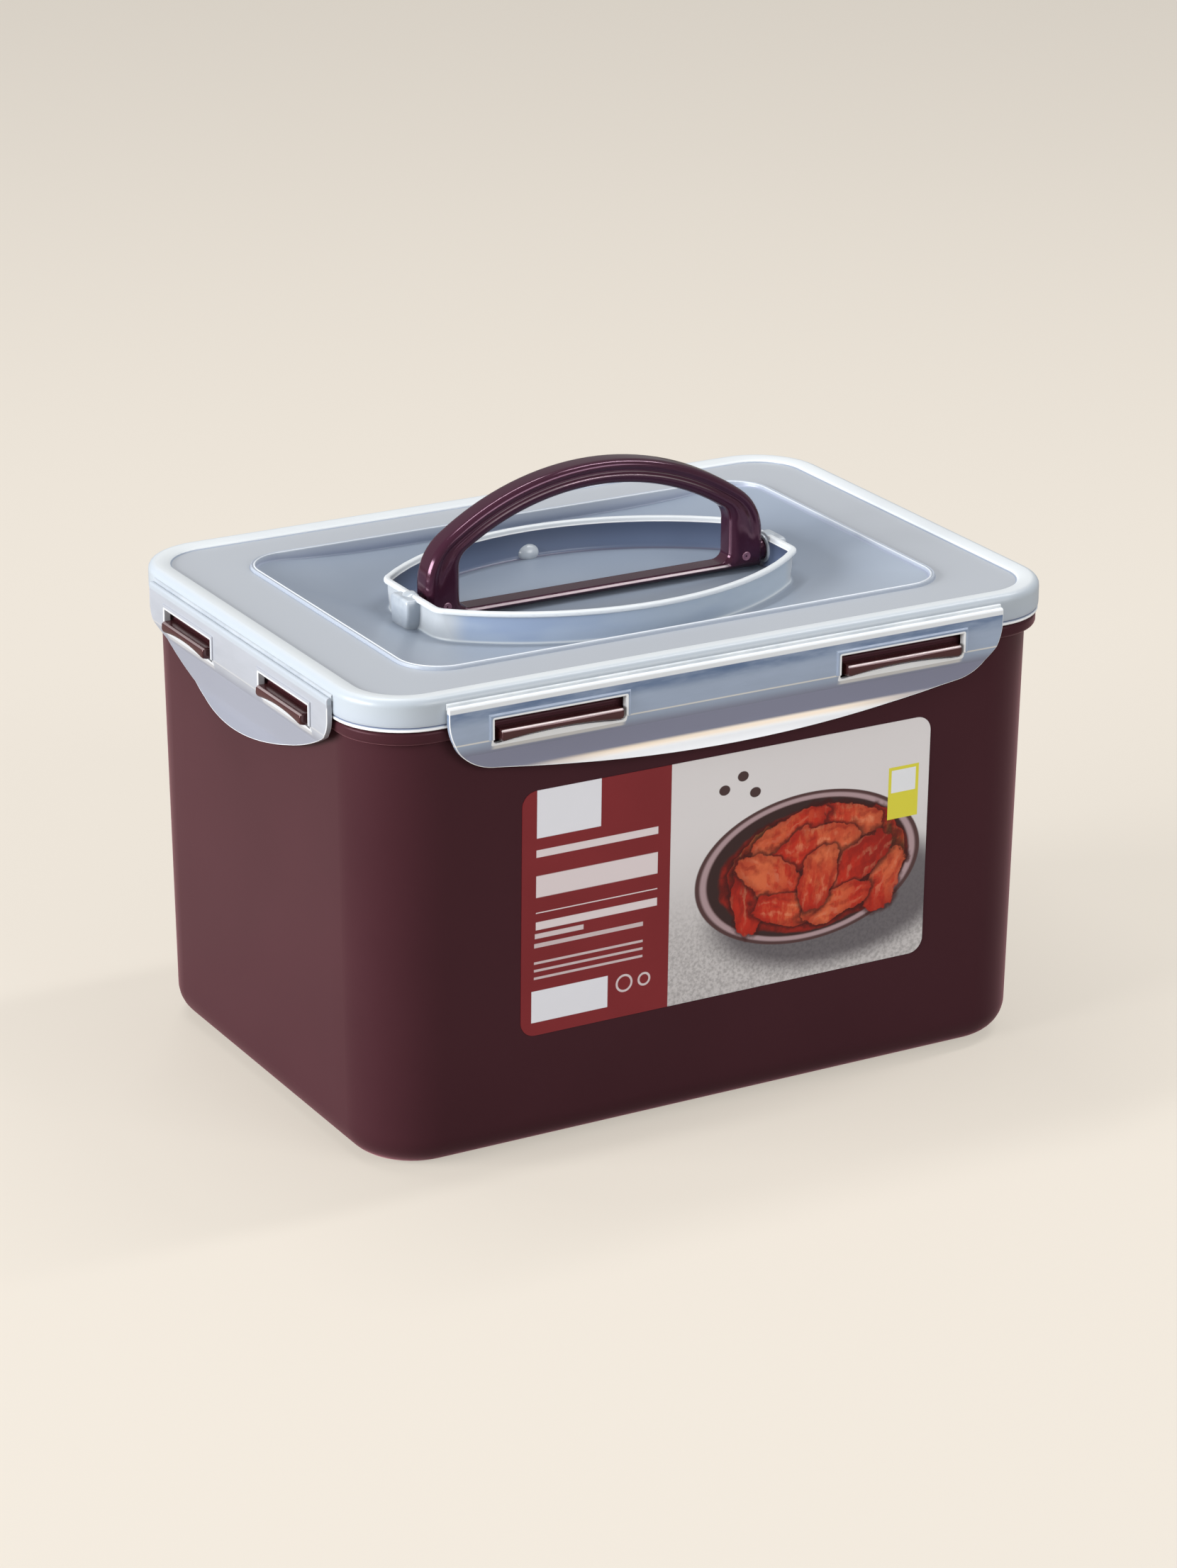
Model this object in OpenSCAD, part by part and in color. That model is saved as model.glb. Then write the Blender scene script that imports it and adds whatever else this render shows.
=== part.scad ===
// Rectangular kimchi container: a drafted wine-coloured box with four hinged locking flaps
// on a translucent lid, a silicone seal, and a carrying handle that folds into the lid.
// Millimetres. Origin at the centre of the foot, +Z up, long side along X, label on -Y.

/* [Container] */
// Length of the footprint, side to side
base_l = 235.4; // [190:0.2:290]
// Width of the footprint, front to back
base_w = 162.2; // [140:0.2:210]
// Radius of the upright corners at the foot
base_corner_r = 22.4; // [18:0.2:26]
// Height of the container's own rim above the table
body_h = 147.8; // [120:0.2:200]
// Lean of the walls out of plumb, in degrees
draft = 0.93; // [0.4:0.01:1.6]
// Thickness of the container's walls
wall_t = 2.2; // [1.8:0.1:3]
// Thickness of the container's floor
floor_t = 2.6; // [2:0.1:4]
// Radius where the walls turn into the floor
foot_r = 10.5; // [6:0.5:14]
// Width of the ring that the container stands on
foot_ring_w = 7; // [4:0.5:12]
// Height of the floor's underside above the table, inside that ring
foot_recess = 0.8; // [0.4:0.1:1.2]

/* [Rim and lugs] */
// How far the rim's bead stands out from the wall
bead_reach = 1.5; // [1:0.1:1.6]
// Height of the bead
bead_h = 4.1; // [3:0.1:6]
// Length of each of the two lugs on a long side
front_lug_l = 41.2; // [28:0.2:48]
// Distance from a long flap's end to the middle of its lug
front_lug_inset = 37; // [30:0.2:44]
// Length of each of the two lugs on a short side
side_lug_l = 30.4; // [20:0.2:34]
// Distance from a short flap's end to the middle of its lug
side_lug_inset = 28.8; // [25:0.2:34]
// Height of a lug at its ends
lug_h = 4.2; // [3:0.1:5]
// How far a lug comes through its flap
lug_reach = 2.3; // [1:0.1:3]
// Rise of the arch under a lug
lug_arch = 1.4; // [0:0.1:2]
// Distance of a lug's top below the container's rim
lug_drop = 6.2; // [5.8:0.1:8]

/* [Lid] */
// Radius of the lid's corners
lid_corner_r = 22.8; // [19:0.2:26]
// Thickness of the lid's plate
lid_t = 1.9; // [1.4:0.1:2.4]
// Thickness of the lid's border, over the seal
border_t = 2.8; // [2.2:0.1:3.4]
// Width of the border
border_w = 7.5; // [6.8:0.1:9]
// Step from the border down to the ring inside it
border_step = 0.5; // [0.2:0.1:0.8]
// Rise of the border from that step to its shoulder
border_crown = 0.8; // [0:0.1:1.2]
// Radius of the lid's shoulder
shoulder_r = 2.4; // [1.6:0.1:3.2]
// Thickness of the lid's skirt
skirt_t = 1.6; // [1.2:0.1:2]
// Depth of the skirt below the top of the border
skirt_drop = 9.3; // [8.8:0.1:9.8]
// Width of the ring at the lid's short sides
ring_l = 22.2; // [12:0.2:26]
// Width of the ring at the lid's long sides
ring_w = 17.2; // [8:0.2:18]
// Corner radius of the sunk panel
panel_corner_r = 12.8; // [8:0.2:18]
// Depth of the sunk panel at the lid's centre
panel_depth = 9.3; // [4:0.1:10]
// Radius of the panel's dish
dish_r = 678; // [500:2:2400]
// Height of the bead that runs round the panel
panel_bead_h = 1.1; // [0.4:0.1:1.6]
// Width of the bead that runs round the panel
panel_bead_w = 1.5; // [1:0.1:2.4]
// Thickness of the silicone seal
seal_t = 2.4; // [1.8:0.1:3]
// Depth of the lid's inner wall below the seal's seat
plug_drop = 9; // [6:0.5:14]

/* [Handle well] */
// Length of the well, over its end walls
well_l = 130.2; // [118:0.2:140]
// Width of the well at its middle, over its walls
well_w = 88.8; // [82:0.2:98]
// Width of the well's end walls
well_end_w = 35.6; // [30:0.2:42]
// Length of the well's end walls taken off each corner by its chamfer
well_chamfer = 1.7; // [0.6:0.1:3]
// Thickness of the well's walls
well_t = 1.7; // [1.4:0.1:2.4]
// Height of the well's rim above the lid's border
well_rise = 2.4; // [2:0.1:6]
// Depth of the well's floor below its rim
well_depth = 10.3; // [10:0.1:13]
// Width of the flare round the well's foot
well_foot = 1.6; // [0.6:0.1:2.4]
// Radius of the sockets that carry the handle
socket_r = 5.8; // [5:0.1:6.4]
// How far a socket stands out of the well's end wall, towards the handle
socket_reach = 2; // [1.2:0.1:2.6]
// How far it stands out on the other side of that wall
socket_bulge = 3.6; // [1.2:0.1:5]

/* [Handle] */
// Gap between the handle and the well's end walls
handle_gap = 2.8; // [2.4:0.1:5]
// Gap between the folded handle and the well's wall
crown_gap = 3.8; // [3:0.1:8]
// Radius of the handle's crown
crown_r = 90.5; // [80:0.5:130]
// Height of the handle's band at the crown
crown_band = 7.8; // [5:0.1:9]
// Width of the handle's legs
leg_w = 12; // [8:0.1:13]
// Radius of the handle's shoulders
handle_shoulder_r = 18.4; // [14:0.2:24]
// Radius of the opening's shoulders
opening_shoulder_r = 6; // [4:0.2:12]
// Radius of the opening's lower corners
opening_foot_r = 3.2; // [1:0.2:6]
// Thickness of the handle, front to back
handle_t = 9.6; // [8:0.1:10]
// Radius of the handle's two pivot pins
pin_r = 3.5; // [2.8:0.1:4]
// Distance from the pivot down to the grip bar's top
bar_drop = 1.9; // [1.6:0.1:2.6]
// Depth of the channel in the handle's faces
channel_depth = 0.9; // [0.4:0.1:1.6]
// Width of the bead left on each side of the channel
channel_bead = 1.5; // [1:0.1:2]
// Radius of the small dimple in each leg, level with the pivot
dimple_r = 1.2; // [0.8:0.1:1.6]

/* [Flaps] */
// Length of the flaps on the long sides
front_flap_l = 194; // [160:0.5:196]
// Length of the flaps on the short sides
side_flap_l = 125.6; // [104:0.2:127]
// Thickness of the flaps
flap_t = 1.8; // [1.4:0.1:2.2]
// Depth of a long side's flap below its hinge
front_flap_drop = 25.8; // [22:0.2:32]
// Depth of a short side's flap below its hinge
side_flap_drop = 28; // [22:0.2:32]
// How far the middle of a long flap hangs below its ends
front_belly = 7.4; // [4:0.1:12]
// How far the middle of a short flap hangs below its ends
side_belly = 17.4; // [10:0.1:22]
// Corner radius of a long side's flap
front_flap_r = 17.4; // [12:0.2:20]
// Corner radius of a short side's flap
side_flap_r = 8; // [6:0.2:12]
// Distance of the fold line below the hinge
crease_drop = 11.2; // [10.6:0.1:13]
// How far the flap leans in below the fold line
lip_tuck = 1.5; // [0.4:0.1:1.8]
// Height over which it leans in
tuck_h = 4.4; // [3:0.1:6]
// How far the pull lip curls out again
lip_curl = 3.1; // [1:0.1:4]
// Height of the pull lip
lip_h = 4.6; // [2.5:0.1:6]
// Width of the raised frame round each slot
slot_frame_w = 1.5; // [1:0.1:2]
// Height of that frame
slot_frame_h = 0.5; // [0.3:0.1:0.8]

/* [Label] */
// Left edge of the label, from the middle
label_left = 70.2; // [50:0.2:80]
// Right edge of the label, from the middle
label_right = 74.4; // [50:0.2:80]
// Height of the label's lower edge above the table
label_z = 37.9; // [20:0.2:50]
// Height of the label
label_h = 79.9; // [50:0.2:86]
// Corner radius of the label
label_r = 5; // [2:0.2:10]
// Thickness of the label
label_t = 0.2; // [0.1:0.05:0.4]

/* [Fits] */
// Gap between the lid's skirt and the container's wall
skirt_gap = 0.7; // [0.5:0.1:1.4]
// Gap between pieces that pass each other
clearance = 0.3; // [0.3:0.05:0.5]
// Gap between the lid's inner wall and the container at the corners
plug_gap = 0.7; // [0.4:0.1:1.4]
// Radial gap between the handle's pins and their sockets
pin_gap = 0.06; // [0.02:0.01:0.1]

/* [Hidden] */
$fn = 48;

wine = [0.24, 0.11, 0.14];
frosted = [0.78, 0.82, 0.86, 0.7];
silicone = [0.93, 0.94, 0.95];
print_red = [0.5, 0.14, 0.16];

// Reach of the wall's outer face beyond the corner centres, at height z
// Radius of an arc that is len across and rise high
function belly_r(len, rise) = (len * len / 4 + rise * rise) / (2 * rise);
function wall_r(z) = base_corner_r + z * tan(draft);

body_cx = base_l / 2 - base_corner_r;
body_cy = base_w / 2 - base_corner_r;
foot_rim_r = wall_r(foot_r);
rim_r = wall_r(body_h);

// The lid stands over the rim, and its corners have a radius of their own
lid_half_l = body_cx + rim_r + skirt_gap + skirt_t;
lid_half_w = body_cy + rim_r + skirt_gap + skirt_t;
lid_cx = lid_half_l - lid_corner_r;
lid_cy = lid_half_w - lid_corner_r;
skirt_in_r = lid_corner_r - skirt_t;
seat_z = body_h + seal_t;
border_z = seat_z + border_t;
skirt_z = border_z - skirt_drop;
ring_z = border_z - border_step;
border_r = lid_corner_r - border_w;

// Corner distance between the container's cavity and the lid's corner centre
cavity_corner = (body_cx - lid_cx) * sqrt(2) + rim_r - wall_t;
plug_r = cavity_corner - plug_gap;
plug_t = 1.5;
seal_r = plug_r + clearance;
seal_out_r = skirt_in_r - clearance;

bead_r = lid_corner_r - skirt_t - skirt_gap + bead_reach;
bead_top = skirt_z - clearance;
bead_z = bead_top - bead_h;

panel_half_l = lid_cx + border_r - ring_l;
panel_half_w = lid_cy + border_r - ring_w;
panel_z = border_z - panel_depth;

well_z = border_z + well_rise;
floor_z = well_z - well_depth;
well_half = well_l / 2;
well_in_half = well_half - well_t;

handle_half = well_in_half - handle_gap;
turn_r = handle_t / 2 + 0.3;
pivot_z = floor_z + turn_r + clearance;
handle_rise = well_w / 2 - well_t - crown_gap;
pin_tip = well_half + 0.3;
socket_tip = well_half + socket_bulge;
bar_w = 8.4;

flap_plane = flap_t / 2 + clearance;
hinge_l = lid_half_l + flap_plane;
hinge_w = lid_half_w + flap_plane;
hinge_r = flap_t / 2;
hinge_z = border_z - 3.4;
rail_h = 1.8;
front_lug_x = front_flap_l / 2 - front_lug_inset;
side_lug_y = side_flap_l / 2 - side_lug_inset;
lug_top = body_h - lug_drop;
lug_tip = flap_t / 2 + lug_reach;
lug_side_gap = 1.6;
slot_over = 3.1;
slot_under = 0.5;
far = 400;

// Plan and section helpers

// A flat rounded rectangle, from its half length, half width and corner radius
module rounded_rect(half_l, half_w, r) {
    square([2 * half_l, 2 * (half_w - r)], center = true);
    square([2 * (half_l - r), 2 * half_w], center = true);
    for (sx = [-1, 1], sy = [-1, 1])
        translate([sx * (half_l - r), sy * (half_w - r)]) circle(r);
}

// Carries a section round a rectangle of corner centres; its x is the reach beyond them
module swept(cx, cy) {
    for (turn = [0 : 3]) {
        side = turn % 2 == 0 ? [cx, cy] : [cy, cx];
        rotate(90 * turn) {
            translate([side[0], side[1], 0]) rotate_extrude(angle = 90) children();
            translate([side[0], side[1], 0]) rotate([90, 0, 0]) linear_extrude(2 * side[1]) children();
        }
    }
}

// Fills the rectangle between the corner centres
module core(cx, cy, z, h) {
    translate([-cx, -cy, z]) cube([2 * cx, 2 * cy, h]);
}

// An arched outline standing on y = foot: a crown, two round shoulders, two upright sides
module arch(top, crown, half, shoulder, foot) {
    crown_y = top - crown;
    sx = half - shoulder;
    sy = crown_y + sqrt(pow(crown - shoulder, 2) - sx * sx);
    lift = (2 * crown) / (crown - shoulder);
    intersection() {
        union() {
            intersection() {
                translate([0, crown_y]) circle(crown, $fn = 240);
                polygon([[0, crown_y], [sx * lift, crown_y + (sy - crown_y) * lift],
                         [-sx * lift, crown_y + (sy - crown_y) * lift]]);
            }
            for (s = [-1, 1]) translate([s * sx, sy]) circle(shoulder);
            translate([-half, foot]) square([2 * half, sy - foot]);
        }
        translate([-half, foot]) square([2 * half, top - foot + 1]);
    }
}

// The well's plan: two long arcs and straight end walls, grown all round by grow
module well_plan(grow) {
    half = well_half + grow;
    mid = well_w / 2 + grow;
    rise = (well_w - well_end_w) / 2;
    arc_r = (well_half * well_half + rise * rise) / (2 * rise) + grow;
    cut_y = mid - arc_r + sqrt(arc_r * arc_r - half * half) - well_chamfer;
    run = mid * tan(45 - asin(half / arc_r) / 2);
    intersection() {
        translate([0, mid - arc_r]) circle(arc_r, $fn = 120);
        translate([0, arc_r - mid]) circle(arc_r, $fn = 120);
        polygon([[half, -cut_y], [half, cut_y], [half - run, cut_y + mid], [run - half, cut_y + mid],
                 [-half, cut_y], [-half, -cut_y], [run - half, -cut_y - mid], [half - run, -cut_y - mid]]);
    }
}

// Everything above a shallow dish whose lowest point is at height z
module above_dish(z, r) {
    translate([0, 0, z]) rotate_extrude() intersection() {
        translate([0, r]) circle(r, $fn = 720);
        square([lid_half_l, panel_depth + well_rise]);
    }
}

// Container

module outer_section() {
    polygon([[0, 0], [foot_rim_r - foot_r, 0], [foot_rim_r - foot_r, foot_r],
             [foot_rim_r, foot_r], [rim_r, body_h], [0, body_h]]);
    translate([foot_rim_r - foot_r, foot_r]) circle(foot_r);
}

module cavity_section() {
    r = foot_r - wall_t;
    x = foot_rim_r - foot_r;
    polygon([[0, floor_t], [x, floor_t], [x, floor_t + r], [x + r, floor_t + r],
             [rim_r - wall_t, body_h + 1], [0, body_h + 1]]);
    translate([x, floor_t + r]) circle(r);
}

module bead_section() {
    soft = 1.2;
    translate([0, bead_z]) square([bead_r - soft, bead_h]);
    translate([0, bead_z + soft]) square([bead_r, bead_h - 2 * soft]);
    for (z = [bead_z + soft, bead_top - soft]) translate([bead_r - soft, z]) circle(soft, $fn = 16);
}

// Face of a lug, or of its slot: straight on top, arched below, round at the lower ends
module lug_face(len, over, under, side) {
    half = len / 2 + side;
    soft = 1.2;
    base = -lug_h - under;
    arch_r = (len * len / 4 + lug_arch * lug_arch) / (2 * lug_arch + 0.01);
    difference() {
        union() {
            translate([-half, base + soft]) square([2 * half, over - base - soft]);
            translate([soft - half, base]) square([2 * (half - soft), lug_h]);
            for (s = [-1, 1]) translate([s * (half - soft), base + soft]) circle(soft, $fn = 20);
        }
        if (lug_arch > 0)
            translate([0, base + lug_arch - arch_r]) circle(arch_r, $fn = 240);
    }
}

// One lug, seen from its own side: it grows out of the wall, and its underside is eased at the tip
module lug(len, hinge) {
    reach = hinge + lug_tip;
    depth = lug_tip + flap_plane + skirt_t + skirt_gap + wall_t / 2;
    difference() {
        translate([0, depth - reach, lug_top]) rotate([90, 0, 0]) linear_extrude(depth)
            lug_face(len, 0, 0, 0);
        translate([-len, -reach, lug_top - lug_h]) rotate([0, 90, 0]) linear_extrude(2 * len)
            polygon([[1, -1], [1, lug_tip + 1], [0, lug_tip], [-1.1, 0], [-1.1, -1]]);
    }
}

module lugs() {
    for (turn = [0, 180], s = [-1, 1]) {
        rotate(turn) translate([s * front_lug_x, 0, 0]) lug(front_lug_l, hinge_w);
        rotate(turn + 90) translate([s * side_lug_y, 0, 0]) lug(side_lug_l, hinge_l);
    }
}

module container_body() color(wine) difference() {
    union() {
        swept(body_cx, body_cy) outer_section();
        core(body_cx, body_cy, 0, body_h);
        swept(lid_cx, lid_cy) bead_section();
        core(lid_cx, lid_cy, bead_z, bead_h);
        lugs();
    }
    swept(body_cx, body_cy) cavity_section();
    core(body_cx, body_cy, floor_t, body_h);
    translate([0, 0, -1]) linear_extrude(foot_recess + 1)
        rounded_rect(body_cx + foot_rim_r - foot_r - foot_ring_w,
                     body_cy + foot_rim_r - foot_r - foot_ring_w,
                     foot_rim_r - foot_r);
}

// Lid

// Outer form of the border, its shoulder and the skirt
module shell_section() {
    top = border_z + border_crown;
    inner = lid_corner_r - shoulder_r;
    run = inner - border_r;
    crown = (run * run + border_crown * border_crown) / (2 * border_crown + 0.01);
    polygon([[0, skirt_z], [0, border_z], [inner, border_z], [inner, top - shoulder_r],
             [lid_corner_r, top - shoulder_r], [lid_corner_r, skirt_z + 2],
             [lid_corner_r - 0.4, skirt_z]]);
    translate([inner, top - shoulder_r]) circle(shoulder_r, $fn = 32);
    intersection() {
        translate([inner, top - crown]) circle(crown);
        translate([border_r, border_z - 0.5]) square([run, border_crown + 1]);
    }
}

// The step from the border down to the ring, cut with a slant
module step_section() {
    polygon([[0, ring_z], [border_r, ring_z], [border_r + 0.6, border_z],
             [border_r + 1.2, border_z + 1], [0, border_z + 1]]);
}

module plate(z, h, r) {
    translate([0, 0, z]) linear_extrude(h) rounded_rect(lid_cx + r, lid_cy + r, r);
}

module shell() {
    difference() {
        union() {
            swept(lid_cx, lid_cy) shell_section();
            core(lid_cx, lid_cy, skirt_z, border_z - skirt_z);
        }
        plate(skirt_z - 1, seat_z - skirt_z + 1, skirt_in_r);
        plate(seat_z - 1, ring_z - lid_t - seat_z + 1, plug_r - plug_t);
    }
    difference() {
        plate(seat_z - plug_drop, plug_drop + 0.5, plug_r);
        plate(seat_z - plug_drop - 1, plug_drop + 2, plug_r - plug_t);
    }
}

// The strip that carries one flap's hinge, with a groove round the hinge line
module hinge_rail(len, hinge) {
    inner = skirt_t + flap_plane;
    top = hinge_z + rail_h;
    difference() {
        translate([-len / 2, -hinge, 0]) rotate([90, 0, 90]) linear_extrude(len)
            polygon([[0.55, hinge_z], [0.55, top - 0.3], [0.9, top], [inner + 1.5, top + 0.6],
                     [inner + 1.5, seat_z + 0.5], [inner, seat_z + 0.5], [inner, hinge_z - 2],
                     [flap_plane, hinge_z - 2], [flap_plane, hinge_z]]);
        translate([-len / 2 - 1, -hinge, hinge_z]) rotate([0, 90, 0])
            cylinder(r = hinge_r + clearance, h = len + 2);
    }
}

module hinge_rails() {
    for (turn = [0, 180]) {
        rotate(turn) hinge_rail(front_flap_l, hinge_w);
        rotate(turn + 90) hinge_rail(side_flap_l, hinge_l);
    }
}

module lid_plate() {
    difference() {
        union() {
            shell();
            hinge_rails();
            intersection() {
                translate([0, 0, panel_z - lid_t]) linear_extrude(ring_z - panel_z + lid_t)
                    rounded_rect(panel_half_l + lid_t, panel_half_w + lid_t, panel_corner_r + lid_t);
                above_dish(panel_z - lid_t, dish_r + lid_t);
            }
        }
        swept(lid_cx, lid_cy) step_section();
        core(lid_cx, lid_cy, ring_z, border_crown + 2);
        intersection() {
            translate([0, 0, panel_z]) linear_extrude(panel_depth)
                rounded_rect(panel_half_l, panel_half_w, panel_corner_r);
            above_dish(panel_z, dish_r);
        }
    }
}

// The bead that stands on the ring, just outside the panel
module panel_bead() {
    near = 0.3;
    out = near + panel_bead_w;
    translate([0, 0, ring_z - 0.6]) linear_extrude(panel_bead_h + 0.6) difference() {
        rounded_rect(panel_half_l + out, panel_half_w + out, panel_corner_r + out);
        rounded_rect(panel_half_l + near, panel_half_w + near, panel_corner_r + near);
    }
}

// Cups at both ends of the well that the handle's pins turn in
module socket_posts(r, x0, x1) {
    for (s = [-1, 1]) translate([s * x0, 0, pivot_z]) rotate([0, s * 90, 0])
        cylinder(r = r, h = x1 - x0);
}

// Small bumps on the well's wall that the folded handle snaps past
module snap_nubs() {
    nub_r = 3.2;
    for (s = [-1, 1]) translate([0, s * (well_w / 2 - well_t + nub_r - crown_gap + 1.2), floor_z + 1.4])
        intersection() {
            scale([1.3, 1, 1]) sphere(nub_r, $fn = 24);
            translate([-10, -s * 3.2 - 4, -2]) cube([20, 8, 10]);
        }
}

module lid() color(frosted) difference() {
    union() {
        lid_plate();
        panel_bead();
        translate([0, 0, floor_z - lid_t]) linear_extrude(well_depth + lid_t) well_plan(0);
        translate([0, 0, floor_z - lid_t]) linear_extrude(panel_z - floor_z + lid_t + 1.6)
            well_plan(well_foot);
        socket_posts(socket_r, well_in_half - socket_reach, socket_tip);
    }
    difference() {
        translate([0, 0, floor_z]) linear_extrude(well_depth + 1) well_plan(-well_t);
        socket_posts(socket_r, well_in_half - socket_reach, socket_tip);
        snap_nubs();
    }
    socket_posts(pin_r + pin_gap, well_in_half - socket_reach - 1, pin_tip + clearance);
}

// Seal

module seal() color(silicone) difference() {
    plate(body_h, seal_t, seal_out_r);
    plate(body_h - 1, seal_t + 2, seal_r);
}

// Handle

module handle_outline() {
    arch(handle_rise, crown_r, handle_half, handle_shoulder_r, -turn_r);
}

module handle_opening(grow) {
    half = handle_half - leg_w + grow;
    foot = -bar_drop - grow;
    r = opening_foot_r + grow;
    intersection() {
        arch(handle_rise - crown_band + grow, crown_r - crown_band + grow, half,
             opening_shoulder_r + grow, foot);
        union() {
            translate([-half, foot + r]) square([2 * half, handle_rise]);
            translate([r - half, foot]) square([2 * (half - r), handle_rise]);
            for (s = [-1, 1]) translate([s * (half - r), foot + r]) circle(r);
        }
    }
}

// The channel that runs round both faces of the handle, between two beads
module handle_channel() {
    difference() {
        arch(handle_rise - channel_bead, crown_r - channel_bead, handle_half - channel_bead,
             handle_shoulder_r - channel_bead, 4);
        handle_opening(channel_bead);
    }
}

module handle() color(wine) translate([0, 0, pivot_z]) {
    difference() {
        rotate([90, 0, 0]) linear_extrude(handle_t, center = true) difference() {
            handle_outline();
            handle_opening(0);
        }
        for (s = [-1, 1]) translate([0, s * handle_t / 2, 0]) rotate([90, 0, 0])
            linear_extrude(2 * channel_depth, center = true) handle_channel();
        // Below the pivot the legs and the bar stay inside the circle that they turn in
        translate([-far / 2, -far / 2, -far]) difference() {
            cube([far, far, far]);
            translate([0, far / 2, far]) rotate([0, 90, 0]) cylinder(r = turn_r, h = far);
        }
        for (sx = [-1, 1], sy = [-1, 1])
            translate([sx * (handle_half - 0.55 * leg_w), sy * handle_t / 2, 0]) rotate([90, 0, 0])
                cylinder(r = dimple_r, h = 1, center = true);
        for (s = [-1, 1]) translate([leg_w - handle_half, s * (bar_w + handle_t) / 2 - handle_t / 2, -far])
            cube([2 * (handle_half - leg_w), handle_t, far - bar_drop + 0.01]);
    }
    for (s = [-1, 1]) translate([s * (handle_half - 1), 0, 0]) rotate([0, s * 90, 0])
        cylinder(r = pin_r, h = pin_tip - handle_half + 1);
}

// Flaps, each drawn hanging from a hinge line through the origin, with its face towards -Y

module flap_section(drop) {
    half = flap_t / 2;
    bend_z = -crease_drop - tuck_h;
    curl_z = -drop + lip_h;
    circle(half);
    polygon([[-half, 0], [half, 0], [half, -crease_drop], [half + lip_tuck, bend_z],
             [half + lip_tuck, curl_z], [half + lip_tuck - 0.6 * lip_curl, -drop - 0.01],
             [-half + lip_tuck - lip_curl, -drop - 0.01],
             [-half + lip_tuck - 0.4 * lip_curl, (curl_z - drop) / 2],
             [-half + lip_tuck, curl_z], [-half + lip_tuck, bend_z], [-half, -crease_drop]]);
}

module slots(offset_x, len, grow) {
    for (s = [-1, 1]) translate([s * offset_x, lug_top - hinge_z])
        lug_face(len, slot_over + grow, slot_under + grow, lug_side_gap + grow);
}

module flap(len, drop, belly, corner_r, lug_x, lug_l) {
    difference() {
        union() {
            intersection() {
                rotate([90, 0, 90]) linear_extrude(len, center = true) flap_section(drop);
                rotate([-90, 0, 0]) linear_extrude(20, center = true) union() {
                    arch(drop, belly, len / 2, corner_r, 0);
                    translate([-len / 2, -2]) square([len, 3]);
                }
            }
            translate([0, -flap_t / 2 - slot_frame_h, 0]) rotate([-90, 0, 0])
                linear_extrude(slot_frame_h + flap_t / 2) mirror([0, 1]) difference() {
                    slots(lug_x, lug_l, slot_frame_w);
                    translate([-len, -drop]) square([2 * len, drop - crease_drop]);
                }
        }
        rotate([-90, 0, 0]) linear_extrude(20, center = true) mirror([0, 1]) slots(lug_x, lug_l, 0);
    }
}

module long_flap() {
    translate([0, -hinge_w, hinge_z])
        flap(front_flap_l, front_flap_drop, belly_r(front_flap_l, front_belly), front_flap_r,
             front_lug_x, front_lug_l);
}

module short_flap() {
    translate([0, -hinge_l, hinge_z])
        flap(side_flap_l, side_flap_drop, belly_r(side_flap_l, side_belly), side_flap_r,
             side_lug_y, side_lug_l);
}

module flap_front() color(frosted) long_flap();
module flap_back() color(frosted) rotate(180) long_flap();
module flap_left() color(frosted) rotate(-90) short_flap();
module flap_right() color(frosted) rotate(90) short_flap();

// Label, laid on the leaning front wall

module front_label() color(print_red)
    translate([(label_right - label_left) / 2, -base_w / 2, 0]) rotate([90 + draft, 0, 0])
        translate([0, (label_z + label_h / 2) / cos(draft), 0]) linear_extrude(label_t)
            rounded_rect((label_left + label_right) / 2, label_h / 2, label_r);

container_body();
lid();
seal();
handle();
front_label();
flap_front();
flap_back();
flap_left();
flap_right();
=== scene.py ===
"""Kimchi container with a clear locking lid and a folding handle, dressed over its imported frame."""
import math
from collections import namedtuple

import bmesh
import bpy
from mathutils import Matrix, Vector


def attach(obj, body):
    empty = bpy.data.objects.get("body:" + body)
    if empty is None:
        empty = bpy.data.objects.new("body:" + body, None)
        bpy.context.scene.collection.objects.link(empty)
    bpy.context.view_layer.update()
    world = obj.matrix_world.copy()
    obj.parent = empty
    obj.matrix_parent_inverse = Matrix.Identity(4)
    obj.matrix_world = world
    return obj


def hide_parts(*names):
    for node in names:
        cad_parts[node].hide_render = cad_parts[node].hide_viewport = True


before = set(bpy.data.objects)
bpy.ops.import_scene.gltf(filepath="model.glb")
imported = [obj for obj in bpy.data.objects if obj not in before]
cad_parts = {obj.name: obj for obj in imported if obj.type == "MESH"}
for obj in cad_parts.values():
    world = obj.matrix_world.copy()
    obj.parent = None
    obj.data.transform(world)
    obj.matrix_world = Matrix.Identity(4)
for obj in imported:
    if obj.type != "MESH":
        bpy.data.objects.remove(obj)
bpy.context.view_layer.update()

bl_info = {
    "name": "Kimchi Container",
    "version": (1, 0, 0),
    "blender": (4, 5, 0),
    "location": "3D View > Sidebar > Container",
    "description": "Builds the visible pieces of a kimchi container: box, lid, flaps, handle and label",
    "category": "Add Mesh",
}

MM = 0.001
BLACK = (0.0, 0.0, 0.0, 1.0)


def srgb(red, green, blue):
    """A colour written as 0-255 display values, as the linear colour that a shader takes."""
    def linear(v):
        v /= 255
        return v / 12.92 if v <= 0.04045 else ((v + 0.055) / 1.055) ** 2.4
    return (linear(red), linear(green), linear(blue), 1.0)


def toned(colour, share):
    """A colour made darker or lighter by a factor."""
    return tuple(part * share for part in colour[:3]) + (1.0,)


# ---- Materials ---------------------------------------------------------------

GRAIN_DEPTH = 0.00004  # metres


def joining(operation):
    """A Math node's operation on two terms, and its reflected form."""
    return (lambda self, other: self.math(operation, self, other),
            lambda self, other: self.math(operation, other, self))


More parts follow.
